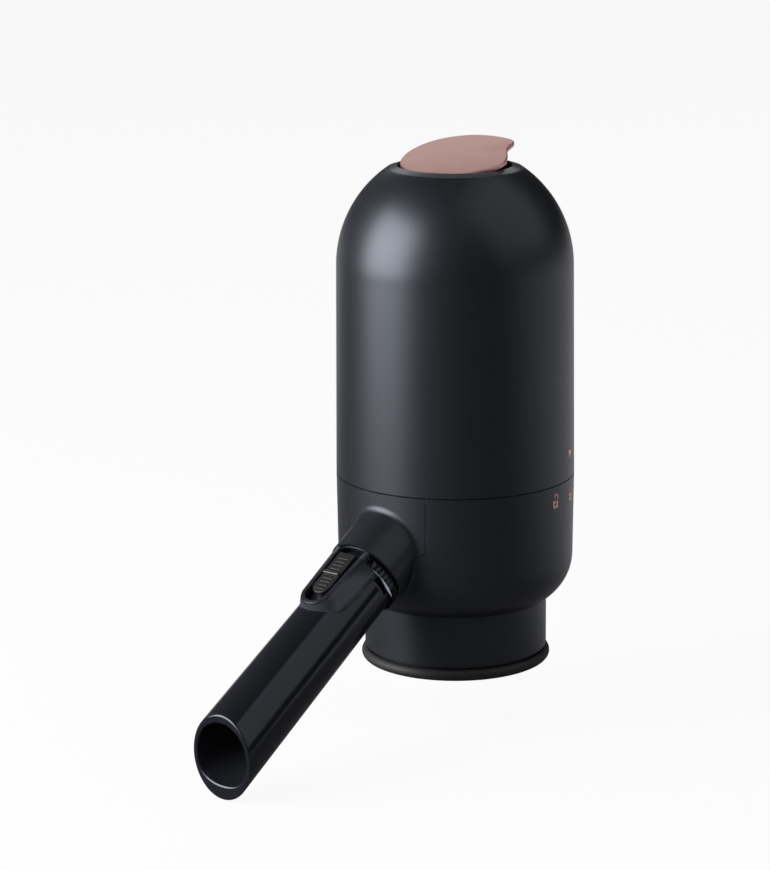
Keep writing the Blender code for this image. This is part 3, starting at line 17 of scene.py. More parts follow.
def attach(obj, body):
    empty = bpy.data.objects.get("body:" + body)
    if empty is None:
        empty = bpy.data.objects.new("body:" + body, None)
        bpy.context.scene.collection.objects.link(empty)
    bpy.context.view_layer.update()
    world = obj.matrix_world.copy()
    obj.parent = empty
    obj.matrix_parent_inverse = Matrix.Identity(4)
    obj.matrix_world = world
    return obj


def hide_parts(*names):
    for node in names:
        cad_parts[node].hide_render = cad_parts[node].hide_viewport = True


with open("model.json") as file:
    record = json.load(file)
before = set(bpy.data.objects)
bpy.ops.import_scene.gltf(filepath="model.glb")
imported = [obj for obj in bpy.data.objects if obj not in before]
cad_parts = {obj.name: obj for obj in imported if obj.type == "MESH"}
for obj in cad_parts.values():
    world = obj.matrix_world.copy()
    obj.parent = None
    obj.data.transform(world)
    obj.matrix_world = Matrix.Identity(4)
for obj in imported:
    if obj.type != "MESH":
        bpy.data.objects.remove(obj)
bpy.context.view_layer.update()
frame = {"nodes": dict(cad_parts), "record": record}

# %% [markdown]
# ## The camera
#
# The picture was taken with a long lens, 38.8 degrees round from the spout's side and a little above the
# body. A long lens far away keeps the upright edges of the body almost parallel.

# %% Place the camera
VIEW_TURN = math.radians(38.8)
VIEW_SIDE = math.radians(1.256)
VIEW_DROP = math.radians(13.58)
VIEW_DISTANCE = 0.780
VIEW_HEIGHT = 0.2272
VIEW_ROLL = math.radians(-0.40)
LENS = 136.3
SENSOR_WIDTH = 36.0

away = Vector((-math.sin(VIEW_TURN), math.cos(VIEW_TURN), 0.0))
camera_data = bpy.data.cameras.new("studio_camera")
camera_data.lens = LENS
camera_data.sensor_width = SENSOR_WIDTH
camera = bpy.data.objects.new("studio_camera", camera_data)
bpy.context.scene.collection.objects.link(camera)
camera.location = away * -VIEW_DISTANCE + Vector((0.0, 0.0, VIEW_HEIGHT))
line = Matrix.Rotation(VIEW_SIDE, 3, "Z") @ away
line = line * math.cos(VIEW_DROP) - Vector((0.0, 0.0, math.sin(VIEW_DROP)))
camera.rotation_euler = (line.to_track_quat("-Z", "Y") @ Quaternion((0.0, 0.0, 1.0), VIEW_ROLL)).to_euler()
bpy.context.scene.camera = camera
print("camera at", tuple(round(value, 3) for value in camera.location))

# %% [markdown]
# ## Shader maths in plain Python
#
# A procedural finish is a chain of nodes. `Recipe.node` adds any node: its settings first, then its inputs.
# `Term` wraps a socket, so that `0.4 + grain * 0.1` adds the Math nodes by itself.


# %% A wrapper for sockets and one for node trees
class Term:
    """A number that varies over a surface. Arithmetic on it adds Math nodes."""

    def __init__(self, recipe, socket):
        self.recipe = recipe
        self.socket = socket

    def math(self, operation, first, second=None):
        inputs = {0: first} if second is None else {0: first, 1: second}
        return self.recipe.node("ShaderNodeMath", {"operation": operation}, inputs)

    def __add__(self, other):
        return self.math("ADD", self, other)

    def __sub__(self, other):
        return self.math("SUBTRACT", self, other)

    def __mul__(self, other):
        return self.math("MULTIPLY", self, other)

    def __rsub__(self, other):
        return self.math("SUBTRACT", other, self)

    __radd__ = __add__
    __rmul__ = __mul__

    def clamp(self):
        """The same number, held between 0 and 1."""
        return self.recipe.node("ShaderNodeMath", {"operation": "ADD", "use_clamp": True}, {0: self, 1: 0.0})


class Recipe:
    """The node tree of one finish."""

    def __init__(self, tree):
        self.tree = tree

    def node(self, kind, settings=None, inputs=None, output=0):
        """Adds a node of any kind and returns one of its outputs."""
        made = self.tree.nodes.new(kind)
        for name, value in (settings or {}).items():
            if name == "stops":
                for _ in value[2:]:
                    made.color_ramp.elements.new(0.5)
                for element, (place, colour) in zip(made.color_ramp.elements, value):
                    element.position = place
                    element.color = (*colour, 1.0)
            else:
                setattr(made, name, value)
        for name, value in (inputs or {}).items():
            self.feed(made.inputs[name], value)
        return Term(self, made.outputs[output]) if made.outputs else made

    def feed(self, socket, value):
        if isinstance(value, Term):
            self.tree.links.new(value.socket, socket)
        elif isinstance(value, tuple) and len(value) == 3 and socket.type == "RGBA":
            socket.default_value = (*value, 1.0)
        else:
            socket.default_value = value

    def place(self, stretch=(1.0, 1.0, 1.0), shift=(0.0, 0.0, 0.0)):
        """Object coordinates, shifted and stretched."""
        coordinates = self.node("ShaderNodeTexCoord", output="Object")
        inputs = {"Vector": coordinates, "Scale": stretch, "Location": shift}
        return self.node("ShaderNodeMapping", {}, inputs)

    def noise(self, scale, detail=2.0, stretch=(1.0, 1.0, 1.0), shift=(0.0, 0.0, 0.0)):
        inputs = {"Vector": self.place(stretch, shift), "Scale": scale, "Detail": detail}
        return self.node("ShaderNodeTexNoise", {}, inputs)

    def mix(self, factor, first, second):
        """Mixes two colours."""
        inputs = {"Factor": factor, 6: first, 7: second}
        return self.node("ShaderNodeMix", {"data_type": "RGBA"}, inputs, output=2)

    def bump(self, height, distance, strength=1.0):
        inputs = {"Height": height, "Distance": distance, "Strength": strength}
        return self.node("ShaderNodeBump", {}, inputs)


def finish(name, **sockets):
    """A material: each socket of its shader gets a value, or a recipe for one."""
    material = bpy.data.materials.new(name)
    material.use_nodes = True
    recipe = Recipe(material.node_tree)
    shader = material.node_tree.nodes["Principled BSDF"]
    for socket, value in sockets.items():
        made = value(recipe) if callable(value) else value
        recipe.feed(shader.inputs[socket.replace("_", " ")], made)
    return material


print("shader helpers ready")

# %% [markdown]
# ## Finishes
#
# The housing is black plastic with a soft-touch coat: almost no colour, a broad weak sheen and a fine grain.
# The spout is polished black plastic. The leaf is metal with a satin rose-gold coat.

# %% Black plastics and rubbers
FINISHES = {}
COOL = (0.80, 0.86, 1.0, 1.0)
FINISHES["housing"] = finish(
    "soft_touch_black",
    Base_Color=lambda r: r.mix(r.noise(90.0, 3.0), (0.0062, 0.0068, 0.0086), (0.0082, 0.0089, 0.0110)),
    Roughness=lambda r: 0.335 + r.noise(60.0, 4.0) * 0.05 + r.noise(2600.0, 1.0) * 0.04,
    Normal=lambda r: r.bump(r.noise(5200.0, 2.0), 0.000012, 0.5),
    Specular_IOR_Level=0.6,
    Specular_Tint=COOL,
)
FINISHES["collar"] = finish(
    "satin_collar_grey",
    Base_Color=lambda r: r.mix(r.noise(120.0, 3.0), (0.0075, 0.0080, 0.0096), (0.0105, 0.0112, 0.0130)),
    Roughness=lambda r: 0.31 + r.noise(80.0, 4.0) * 0.06 + r.noise(2600.0, 1.0) * 0.03,
    Normal=lambda r: r.bump(r.noise(4200.0, 2.0), 0.000010, 0.5),
    Specular_IOR_Level=0.6,
    Specular_Tint=COOL,
)
FINISHES["rim_rubber"] = finish(
    "dull_rubber",
    Base_Color=lambda r: r.mix(r.noise(300.0, 4.0), (0.006, 0.006, 0.007), (0.011, 0.011, 0.012)),
    Roughness=lambda r: 0.58 + r.noise(500.0, 3.0) * 0.12,
    Normal=lambda r: r.bump(r.noise(3000.0, 3.0), 0.00002, 0.6),
)
FINISHES["spout"] = finish(
    "polished_black",
    Base_Color=lambda r: r.mix(r.noise(120.0, 3.0), (0.0060, 0.0064, 0.0080), (0.0080, 0.0085, 0.0104)),
    Roughness=lambda r: 0.12 + r.noise(140.0, 4.0) * 0.06,
    Normal=lambda r: r.bump(r.noise(260.0, 2.0), 0.00003, 0.12),
    Specular_Tint=COOL,
)
FINISHES["silicone"] = finish(
    "grey_silicone",
    Base_Color=lambda r: r.mix(r.noise(200.0, 3.0), (0.30, 0.30, 0.31), (0.38, 0.38, 0.39)),
    Roughness=lambda r: 0.42 + r.noise(700.0, 3.0) * 0.10,
    Normal=lambda r: r.bump(r.noise(1800.0, 3.0), 0.00002, 0.4),
    Subsurface_Weight=0.15,
)
POD_SATIN = finish(
    "satin_pod_black",
    Base_Color=lambda r: r.mix(r.noise(150.0, 3.0), (0.026, 0.028, 0.034), (0.034, 0.036, 0.044)),
    Roughness=lambda r: 0.22 + r.noise(200.0, 4.0) * 0.08,
    Normal=lambda r: r.bump(r.noise(3000.0, 2.0), 0.00001, 0.3),
    Specular_Tint=COOL,
)
SLIDER_PAD = finish(
    "matt_slider_black",
    Base_Color=lambda r: r.mix(r.noise(400.0, 3.0), (0.0075, 0.0065, 0.0068), (0.0115, 0.0098, 0.0100)),
    Roughness=lambda r: 0.34 + r.noise(900.0, 3.0) * 0.12,
    Normal=lambda r: r.bump(r.noise(5000.0, 2.0), 0.00001, 0.5),
)
print("dark finishes:", ", ".join(FINISHES))

# %% Rose gold, and the pieces inside
FINISHES["leaf"] = finish(
    "satin_rose_gold",
    Base_Color=lambda r: r.mix(r.noise(160.0, 4.0), (0.63, 0.375, 0.335), (0.71, 0.43, 0.385)),
    Metallic=lambda r: 0.93 + r.noise(40.0) * 0.07,
    Roughness=lambda r: 0.34 + r.noise(900.0, 3.0, (0.12, 1.0, 1.0)) * 0.12,
    Normal=lambda r: r.bump(r.noise(5000.0, 2.0, (0.06, 1.0, 1.0)), 0.00001, 0.5),
)
FINISHES["inner_plastic"] = finish(
    "moulded_white",
    Base_Color=lambda r: r.mix(r.noise(150.0, 3.0), (0.66, 0.66, 0.63), (0.74, 0.74, 0.72)),
    Roughness=lambda r: 0.42 + r.noise(900.0, 3.0) * 0.12,
    Normal=lambda r: r.bump(r.noise(2500.0, 2.0), 0.00002, 0.3),
)
FINISHES["steel"] = finish(
    "plain_steel",
    Base_Color=lambda r: r.mix(r.noise(900.0, 3.0), (0.54, 0.54, 0.56), (0.66, 0.66, 0.68)),
    Metallic=1.0,
    Roughness=lambda r: 0.26 + r.noise(2400.0, 3.0) * 0.14,
)
FINISHES["board"] = finish(
    "circuit_board",
    Base_Color=lambda r: r.mix(r.noise(700.0, 1.0), (0.025, 0.14, 0.06), (0.05, 0.22, 0.10)),
    Roughness=lambda r: 0.30 + r.noise(1500.0, 2.0) * 0.15,
)
FINISHES["contact"] = finish(
    "contact_board",
    Base_Color=lambda r: r.mix(r.noise(900.0, 1.0), (0.03, 0.15, 0.07), (0.06, 0.24, 0.11)),
    Roughness=lambda r: 0.32 + r.noise(1500.0, 2.0) * 0.15,
)
FINISHES["cell"] = finish(
    "wrapped_cell",
    Base_Color=lambda r: r.mix(r.noise(80.0, 2.0), (0.055, 0.13, 0.29), (0.08, 0.17, 0.36)),
    Roughness=lambda r: 0.24 + r.noise(600.0, 3.0) * 0.12,
    Metallic=0.3,
)
FINISHES["motor"] = finish(
    "plated_can",
    Base_Color=lambda r: r.mix(r.noise(500.0, 3.0, (1.0, 1.0, 0.1)), (0.52, 0.52, 0.54), (0.64, 0.64, 0.66)),
    Metallic=1.0,
    Roughness=lambda r: 0.28 + r.noise(1500.0, 3.0, (1.0, 1.0, 0.1)) * 0.14,
)
FINISHES["lead_red"] = finish(
    "red_insulation",
    Base_Color=lambda r: r.mix(r.noise(900.0), (0.42, 0.025, 0.025), (0.52, 0.035, 0.03)),
    Roughness=lambda r: 0.36 + r.noise(1500.0) * 0.12,
)
FINISHES["lead_black"] = finish(
    "black_insulation",
    Base_Color=lambda r: r.mix(r.noise(900.0), (0.014, 0.014, 0.015), (0.024, 0.024, 0.025)),
    Roughness=lambda r: 0.36 + r.noise(1500.0) * 0.12,
)
for row in frame["record"]["subparts"]:
    for slot in frame["nodes"][row["node"]].material_slots:
        slot.material = FINISHES[row["material_slot"]]

# %% [markdown]
# ## Helpers for turned and cut forms
#
# Most pieces of an aerator are turned, so one outline spun once round the axis gives each of them. Moulded
# plastic never has a perfectly sharp edge: `round_edges` bevels the edges where two faces meet at an angle.

# %% Helpers that make pieces
TURN_STEPS = 180
MERGE = 0.000001
FULL_TURN = math.radians(360.0)
HALF_TURN = math.radians(180.0)
UP = Vector((0.0, 0.0, 1.0))


def new_verts(made):
    """The vertices among what an operator made."""
    return [item for item in made if isinstance(item, bmesh.types.BMVert)]


def new_edges(made):
    """The edges among what an operator made."""
    return [item for item in made if isinstance(item, bmesh.types.BMEdge)]


def new_faces(made):
    """The faces among what an operator made."""
    return [item for item in made if isinstance(item, bmesh.types.BMFace)]


def turned(outline, steps=TURN_STEPS, closed=True, spot=None):
    """Spins an outline of (radius, height) pairs once round the Z axis."""
    bm = bmesh.new()
    corners = [bm.verts.new((radius, 0.0, height)) for radius, height in outline]
    pairs = list(zip(corners, corners[1:] + corners[:1])) if closed else list(zip(corners, corners[1:]))
    edges = [bm.edges.new(pair) for pair in pairs]
    bmesh.ops.spin(bm, geom=corners + edges, cent=(0, 0, 0), axis=(0, 0, 1), angle=FULL_TURN, steps=steps,
                   use_merge=True)
    bmesh.ops.remove_doubles(bm, verts=bm.verts, dist=MERGE)
    bmesh.ops.recalc_face_normals(bm, faces=bm.faces)
    if spot:
        bmesh.ops.transform(bm, matrix=spot, verts=bm.verts)
    return bm


def round_edges(bm, width, steps=3, sharp=0.5, where=None):
    """Rounds the edges at which two faces meet at more than the sharp angle."""
    edges = [edge for edge in bm.edges if len(edge.link_faces) == 2 and edge.calc_face_angle() > sharp
             and (where is None or where(edge.verts[0].co) and where(edge.verts[1].co))]
    bmesh.ops.bevel(bm, geom=edges, offset=width, offset_type="OFFSET", segments=steps, profile=0.5,
                    affect="EDGES", clamp_overlap=True, material=-1)
    return bm


def add(bm, other):
    """Puts one mesh's shells beside another's."""
    spare = bpy.data.meshes.new("spare")
    other.to_mesh(spare)
    other.free()
    bm.from_mesh(spare)
    bpy.data.meshes.remove(spare)
    return bm


def piece(name, bm, body, slot, *nodes, wall=0.0, rim=0.0, material=None):
    """Turns a bmesh into a finished piece that rides on a body."""
    mesh = bpy.data.meshes.new(name)
    bm.to_mesh(mesh)
    bm.free()
    mesh.shade_smooth()
    obj = bpy.data.objects.new(name, mesh)
    bpy.context.scene.collection.objects.link(obj)
    mesh.materials.append(material or FINISHES[slot])
    if wall:
        shell = obj.modifiers.new("Wall", "SOLIDIFY")
        shell.thickness = wall
        shell.offset = -1.0
        shell.use_even_offset = True
    if rim:
        edge = obj.modifiers.new("Rim", "BEVEL")
        edge.width = rim
        edge.segments = 2
        edge.limit_method = "ANGLE"
        edge.angle_limit = math.radians(40.0)
        edge.use_clamp_overlap = True
    weights = obj.modifiers.new("Shading", "WEIGHTED_NORMAL")
    weights.keep_sharp = True
    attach(obj, body)
    if nodes:
        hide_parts(*nodes)
    print(f"{name}: {len(mesh.polygons)} faces on {body}")
    return obj


def cut_away(bm, *cutters):
    """Takes cutters out of a closed mesh with a Boolean, and returns what is left."""
    made = []
    for index, part in enumerate((bm,) + cutters):
        mesh = bpy.data.meshes.new(f"cut_{index}")
        part.to_mesh(mesh)
        part.free()
        obj = bpy.data.objects.new(f"cut_{index}", mesh)
        bpy.context.scene.collection.objects.link(obj)
        made.append(obj)
    for cutter in made[1:]:
        step = made[0].modifiers.new("Cut", "BOOLEAN")
        step.operation = "DIFFERENCE"
        step.solver = "EXACT"
        step.object = cutter
    seen = made[0].evaluated_get(bpy.context.evaluated_depsgraph_get())
    left = bmesh.new()
    left.from_mesh(seen.to_mesh())
    seen.to_mesh_clear()
    for obj in made:
        mesh = obj.data
        bpy.data.objects.remove(obj)
        bpy.data.meshes.remove(mesh)
    return left


def rod(radius, low, high, spot=None, steps=48):
    """A closed cylinder between two heights."""
    bm = bmesh.new()
    lift = Matrix.Translation((0.0, 0.0, (low + high) / 2))
    bmesh.ops.create_cone(bm, cap_ends=True, segments=steps, radius1=radius, radius2=radius, depth=high - low,
                          matrix=(spot or Matrix()) @ lift)
    return bm


print("modelling helpers ready")

# %% [markdown]
# ## The lower housing and its front panel
#
# The lower housing is a turned wall whose foot curves in on a circle. A short slanted socket for the spout
# grows out of it, with a small fillet where they meet. A separate front panel covers the upper half of the
# socket, so the parting line runs along the socket's sides, round a small corner and straight up to the seam.
#
# The wall is spun, a window is opened in it, and the socket's mouth is extruded back to the wall ring by
# ring. The last ring is bridged to the window, and what lies between is laid on the wall again.

# %% Wall and socket in one skin
PANEL_GAP = 0.0001
FOOT_Z = -0.0011
SEAM_Z = 0.02985
CORNER_Z = 0.0098
CORNER_RADIUS = 0.0125
CORNER_REACH = 0.0287
SEAM_RADIUS = 0.0290
SPOUT_SLOPE = math.radians(31.3)
SPOUT = Matrix.Translation((0.0, -0.0340, 0.0103)) @ Matrix.Rotation(math.radians(90.0) + SPOUT_SLOPE, 4, "X")
SOCKET_RADIUS = 0.0097
SOCKET_RISE = 0.0008
SOCKET_MOUTH = -0.0005
WINDOW_TURN = math.radians(24.0)
WINDOW_LOW = 0.0015
WINDOW_HIGH = 0.0285
ROWS_UP = 27
FOOT_ROWS = 8
FILLET = 0.0012
SOCKET_REACH = 0.030
HALVINGS = 40
SLEEVE_STRAIGHT = 4
SLEEVE_CURVE = 7
BRIDGE_CUTS = 5


def wall_radius(height):
    """Radius of the lower housing's wall at a height."""
    if height >= CORNER_Z:
        return CORNER_REACH + (SEAM_RADIUS - CORNER_REACH) * (height - CORNER_Z) / (SEAM_Z - CORNER_Z)
    return CORNER_REACH - CORNER_RADIUS + math.sqrt(CORNER_RADIUS ** 2 - (CORNER_Z - height) ** 2)


def onto_wall(point):
    """The nearest spot of the wall at the same height."""
    flat = Vector((point.x, point.y, 0.0)).normalized() * wall_radius(point.z)
    return Vector((flat.x, flat.y, point.z))


def wall_heights():
    """Heights of the wall's rings: close together where the foot curves in."""
    start, end = (math.asin((CORNER_Z - height) / CORNER_RADIUS) for height in (WINDOW_LOW, FOOT_Z))
    low = [CORNER_Z - CORNER_RADIUS * math.sin(start + (end - start) * row / FOOT_ROWS)
           for row in range(FOOT_ROWS, 0, -1)]
    middle = [WINDOW_LOW + (WINDOW_HIGH - WINDOW_LOW) * row / ROWS_UP for row in range(ROWS_UP + 1)]
    return low + middle + [SEAM_Z]


def sleeve_spot(angle, step):
    """A point of the socket: the first steps run along it, the rest round the fillet onto the wall."""
    mouth = SPOUT @ Vector((SOCKET_RADIUS * math.cos(angle), SOCKET_RISE + SOCKET_RADIUS * math.sin(angle),
                            SOCKET_MOUTH))
    inward = SPOUT.to_3x3() @ Vector((0.0, 0.0, -1.0))
    near, far = 0.0, SOCKET_REACH
    for _ in range(HALVINGS):
        middle = (near + far) / 2
        spot = mouth + inward * middle
        if math.hypot(spot.x, spot.y) > wall_radius(spot.z):
            near = middle
        else:
            far = middle
    corner = mouth + inward * near
    if step <= SLEEVE_STRAIGHT:
        return mouth + inward * (near - FILLET) * (step / SLEEVE_STRAIGHT)
    radial = SPOUT.to_3x3() @ Vector((math.cos(angle), math.sin(angle), 0.0))
    slope = (wall_radius(corner.z + MERGE) - wall_radius(corner.z - MERGE)) / (2 * MERGE)
    normal = Vector((corner.x, corner.y, 0.0)).normalized() - UP * slope
    normal.normalize()
    along = (radial - normal * radial.dot(normal)).normalized()
    start, end = corner - inward * FILLET, onto_wall(corner + along * FILLET)
    share = (step - SLEEVE_STRAIGHT) / SLEEVE_CURVE
    return start * (1 - share) ** 2 + corner * 2 * share * (1 - share) + end * share ** 2


def move_ring(edges, step):
    """Extrudes a ring of edges and lays the new ring on the socket."""
    made = bmesh.ops.extrude_edge_only(skin, edges=edges)["geom"]
    for vert in new_verts(made):
        local = SPOUT.inverted() @ vert.co
        vert.co = sleeve_spot(angles[vert_key(local)], step)
        angles[vert_key(SPOUT.inverted() @ vert.co)] = angles[vert_key(local)]
    return new_edges(made)


def vert_key(local):
    """A vertex's place as whole numbers, to look it up by."""
    return tuple(round(value * 1e7) for value in local)


skin = turned([(wall_radius(height), height) for height in wall_heights()], closed=False)


def in_window(face):
    centre = face.calc_center_median()
    turn = math.atan2(centre.x, -centre.y)
    return abs(turn) < WINDOW_TURN and WINDOW_LOW < centre.z < WINDOW_HIGH


bmesh.ops.delete(skin, geom=[face for face in skin.faces if in_window(face)], context="FACES")
window = [edge for edge in skin.edges if edge.is_boundary
          and all(WINDOW_LOW - MERGE < vert.co.z < WINDOW_HIGH + MERGE for vert in edge.verts)]
ring_count = len(window)
ring = bmesh.ops.create_circle(skin, cap_ends=False, segments=ring_count, radius=SOCKET_RADIUS,
                               matrix=SPOUT @ Matrix.Translation((0.0, SOCKET_RISE, SOCKET_MOUTH)))["verts"]
angles = {}
for vert in ring:
    local = SPOUT.inverted() @ vert.co
    angles[vert_key(local)] = math.atan2(local.y - SOCKET_RISE, local.x)
loop = list({edge for vert in ring for edge in vert.link_edges})
for step in range(1, SLEEVE_STRAIGHT + SLEEVE_CURVE + 1):
    loop = move_ring(loop, step)
before = set(skin.edges)
bmesh.ops.bridge_loops(skin, edges=loop + window)
across = [edge for edge in skin.edges if edge not in before]
laid = bmesh.ops.subdivide_edges(skin, edges=across, cuts=BRIDGE_CUTS, use_grid_fill=True)["geom_inner"]
for vert in new_verts(laid):
    vert.co = onto_wall(vert.co)
bmesh.ops.remove_doubles(skin, verts=skin.verts, dist=MERGE)
bmesh.ops.recalc_face_normals(skin, faces=skin.faces)
print("window edges:", ring_count, "skin faces:", len(skin.faces))

# %% Part the front panel from the housing
PANEL_TURN = math.radians(24.6)
PANEL_CORNER = 0.0016
CORNER_CUTS = 8
NEAR_LINE = 0.0022


def panel_planes(grow):
    """Planes round the front panel, below and at its sides: each is a spot and an outward normal."""
    down = Vector((0.0, math.sin(SPOUT_SLOPE), -math.cos(SPOUT_SLOPE)))
    middle = SPOUT.translation - down * SOCKET_RISE
    planes = [(middle + down * grow, down)]
    for side in (-1, 1):
        outward = Vector((side * math.cos(PANEL_TURN), math.sin(PANEL_TURN), 0.0))
        planes.append((outward * grow, outward))
        lean = down.dot(outward)
        across = (-PANEL_CORNER * (1 - lean) - middle.dot(outward)) / (1 - lean * lean)
        centre = middle + outward * across - down * (PANEL_CORNER + lean * across)
        for index in range(1, CORNER_CUTS):
            normal = down.lerp(outward, index / CORNER_CUTS).normalized()
            planes.append((centre + normal * (PANEL_CORNER + grow), normal))
    return planes


def beyond(point, planes):
    """How far a point lies outside the region that the planes bound."""
    return max((point - spot).dot(normal) for spot, normal in planes)


LINES = [panel_planes(-PANEL_GAP / 2), panel_planes(PANEL_GAP / 2)]
for planes in LINES:
    for spot, normal in planes:
        faces = [face for face in skin.faces if abs(beyond(face.calc_center_median(), planes)) < NEAR_LINE]
        geom = set(faces)
        for face in faces:
            geom.update(face.edges)
            geom.update(face.verts)
        bmesh.ops.bisect_plane(skin, geom=list(geom), plane_co=spot, plane_no=normal, dist=MERGE / 10)
panel_skin, housing_skin = skin.copy(), skin
for mesh, outside in ((panel_skin, lambda centre: beyond(centre, LINES[0]) > 0.0),
                      (housing_skin, lambda centre: beyond(centre, LINES[1]) < 0.0)):
    drop = [face for face in mesh.faces if outside(face.calc_center_median())]
    bmesh.ops.delete(mesh, geom=drop, context="FACES")
print("front panel faces:", len(panel_skin.faces), "housing faces:", len(housing_skin.faces))

# %% Line the socket and finish both pieces
SKIN_WALL = 0.00075
SKIN_RIM = 0.00014
BORE_RADIUS = 0.0081
LINING_RADIUS = 0.0092
LINING_STEPS = 120
LINING_LENGTH = 0.0124
LINING_SETBACK = 0.0007
liner = bmesh.new()
bmesh.ops.create_circle(liner, segments=LINING_STEPS, radius=BORE_RADIUS)
bmesh.ops.create_circle(liner, segments=LINING_STEPS, radius=LINING_RADIUS,
                        matrix=Matrix.Translation((0.0, SOCKET_RISE, 0.0)))
bmesh.ops.bridge_loops(liner, edges=liner.edges[:])
back = bmesh.ops.extrude_face_region(liner, geom=liner.faces[:])["geom"]
bmesh.ops.translate(liner, vec=(0.0, 0.0, -LINING_LENGTH), verts=new_verts(back))
bmesh.ops.translate(liner, vec=(0.0, 0.0, -LINING_SETBACK), verts=liner.verts)
bmesh.ops.transform(liner, matrix=SPOUT, verts=liner.verts)
bmesh.ops.recalc_face_normals(liner, faces=liner.faces)
piece("front_wall", panel_skin, "base", "housing", "front_panel", wall=SKIN_WALL, rim=SKIN_RIM)
piece("lower_wall", housing_skin, "base", "housing", "lower_housing", wall=SKIN_WALL, rim=SKIN_RIM)
piece("socket_lining", liner, "base", "housing")

# %% [markdown]
# ## The upper housing
#
# A straight skirt under half a ball. A UV sphere is cut level at its equator and at the button's opening,
# and its equator is pulled down to the seam.

# %% Upper housing
DOME_Z = 0.0810
DOME_RADIUS = 0.0286
OPENING = 0.0161
SKIRT_Z = 0.02997
DOME_RINGS = 96
DOME_WALL = 0.0014
DOME_RIM = 0.0002

dome = bmesh.new()
bmesh.ops.create_uvsphere(dome, u_segments=TURN_STEPS, v_segments=DOME_RINGS, radius=DOME_RADIUS)
bmesh.ops.translate(dome, vec=(0.0, 0.0, DOME_Z), verts=dome.verts)
opening_z = DOME_Z + math.sqrt(DOME_RADIUS ** 2 - OPENING ** 2)
for height, side in ((DOME_Z, -1.0), (opening_z, 1.0)):
    everything = dome.verts[:] + dome.edges[:] + dome.faces[:]
    bmesh.ops.bisect_plane(dome, geom=everything, plane_co=(0.0, 0.0, height), plane_no=(0.0, 0.0, side),
                           dist=MERGE, clear_outer=True)
equator = [edge for edge in dome.edges if edge.is_boundary and edge.verts[0].co.z < DOME_Z + MERGE]
skirt = new_verts(bmesh.ops.extrude_edge_only(dome, edges=equator)["geom"])
bmesh.ops.translate(dome, vec=(0.0, 0.0, SKIRT_Z - DOME_Z), verts=skirt)
bmesh.ops.scale(dome, vec=(SEAM_RADIUS / DOME_RADIUS, SEAM_RADIUS / DOME_RADIUS, 1.0), verts=skirt)
bmesh.ops.recalc_face_normals(dome, faces=dome.faces)
piece("upper_wall", dome, "upper", "housing", "dome_housing", wall=DOME_WALL, rim=DOME_RIM)

# %% [markdown]
# ## Collar, rim gasket and bottle seal
#
# Under the housing a round collar slips over the bottle's neck. Its foot ends in a thick rubber rim, and
# inside it four soft fins grip the glass.

# %% Turned pieces under the housing
COLLAR_FLANGE = 0.0244
COLLAR_RADIUS = 0.0223
SPIGOT_RADIUS = 0.0215
COLLAR_BORE = 0.0201
collar = turned([(COLLAR_FLANGE, 0.0026), (COLLAR_FLANGE, 0.0002), (COLLAR_RADIUS, 0.0002),
                 (COLLAR_RADIUS, -0.0136), (SPIGOT_RADIUS, -0.0136), (SPIGOT_RADIUS, -0.0159),
                 (COLLAR_BORE, -0.0159), (COLLAR_BORE, 0.0026)])
piece("collar_ring", round_edges(collar, 0.00025), "base", "collar", "collar")

RIM_REACH = 0.02175
RIM_Z = -0.0156
RIM_ROUND = 0.0014
rim_outline = [(0.0218, -0.0142)]
rim_outline += [(RIM_REACH + RIM_ROUND * math.cos(turn), RIM_Z + RIM_ROUND * math.sin(turn))
                for turn in [math.radians(75.0 - 165.0 * index / 16) for index in range(17)]]
rim_outline += [(COLLAR_BORE, -0.0170), (COLLAR_BORE, -0.0162), (0.0218, -0.0162)]
piece("rim_ring", turned(rim_outline), "base", "rim_rubber", "rim_gasket")

SEAL_OUTSIDE = 0.0198
SEAL_BORE = 0.0166
FIN_BORE = 0.0149
FIN_PITCH = 0.0034
AIR_HOLE = Matrix.Translation((0.0, 0.0115, 0.0))
seal_outline = [(SEAL_OUTSIDE, 0.0025), (SEAL_OUTSIDE, -0.0150), (SEAL_BORE, -0.0150)]
for fin in (4, 3, 2, 1):
    middle = -FIN_PITCH * fin
    seal_outline += [(SEAL_BORE, middle - 0.0006), (FIN_BORE, middle - 0.0003), (FIN_BORE, middle + 0.0003),
                     (SEAL_BORE, middle + 0.0006)]
seal_outline += [(SEAL_BORE, 0.0), (0.0049, 0.0), (0.0049, 0.0025)]
seal = cut_away(turned(seal_outline, 120), rod(0.0020, -0.001, 0.0035, AIR_HOLE))
piece("neck_seal", round_edges(seal, 0.00015, 2), "base", "silicone", "bottle_seal")

# %% [markdown]
# ## The spout
#
# A polished tube that widens a little towards its tip, and is cut off at a slant there. Its plug sits in the
# socket with two rubber rings, and a shoulder stops it at the socket's mouth. The shoulder is open at the
# top, where the slider's pod meets the housing, and a curved air slot runs on either side of it.

# %% Spout tube
TUBE_LENGTH = 0.0602
TUBE_START = 0.0080
TUBE_END = 0.00885
BORE_START = 0.0062
BORE_END = 0.0076
TIP_TURN = math.radians(30.0)
SHOULDER_RADIUS = 0.0088
SHOULDER = (-0.0002, 0.0021)
SHOULDER_TOP = math.radians(50.0)
AIR_SLOT = (0.0026, 0.0035)
AIR_SLOT_TURNS = (math.radians(-4.0), math.radians(44.0))
PLUG_END = -0.0122
PLUG_RADIUS = 0.0076
GROOVE_RADIUS = 0.0067
GROOVES = ((-0.0106, -0.0090), (-0.0072, -0.0056))
LOWER_LIP = 0.0019
UPPER_LIP = 0.0005


def tube_radius(distance):
    return TUBE_START + (TUBE_END - TUBE_START) * distance / TUBE_LENGTH


def bore_radius(distance):
    return BORE_START + (BORE_END - BORE_START) * distance / TUBE_LENGTH


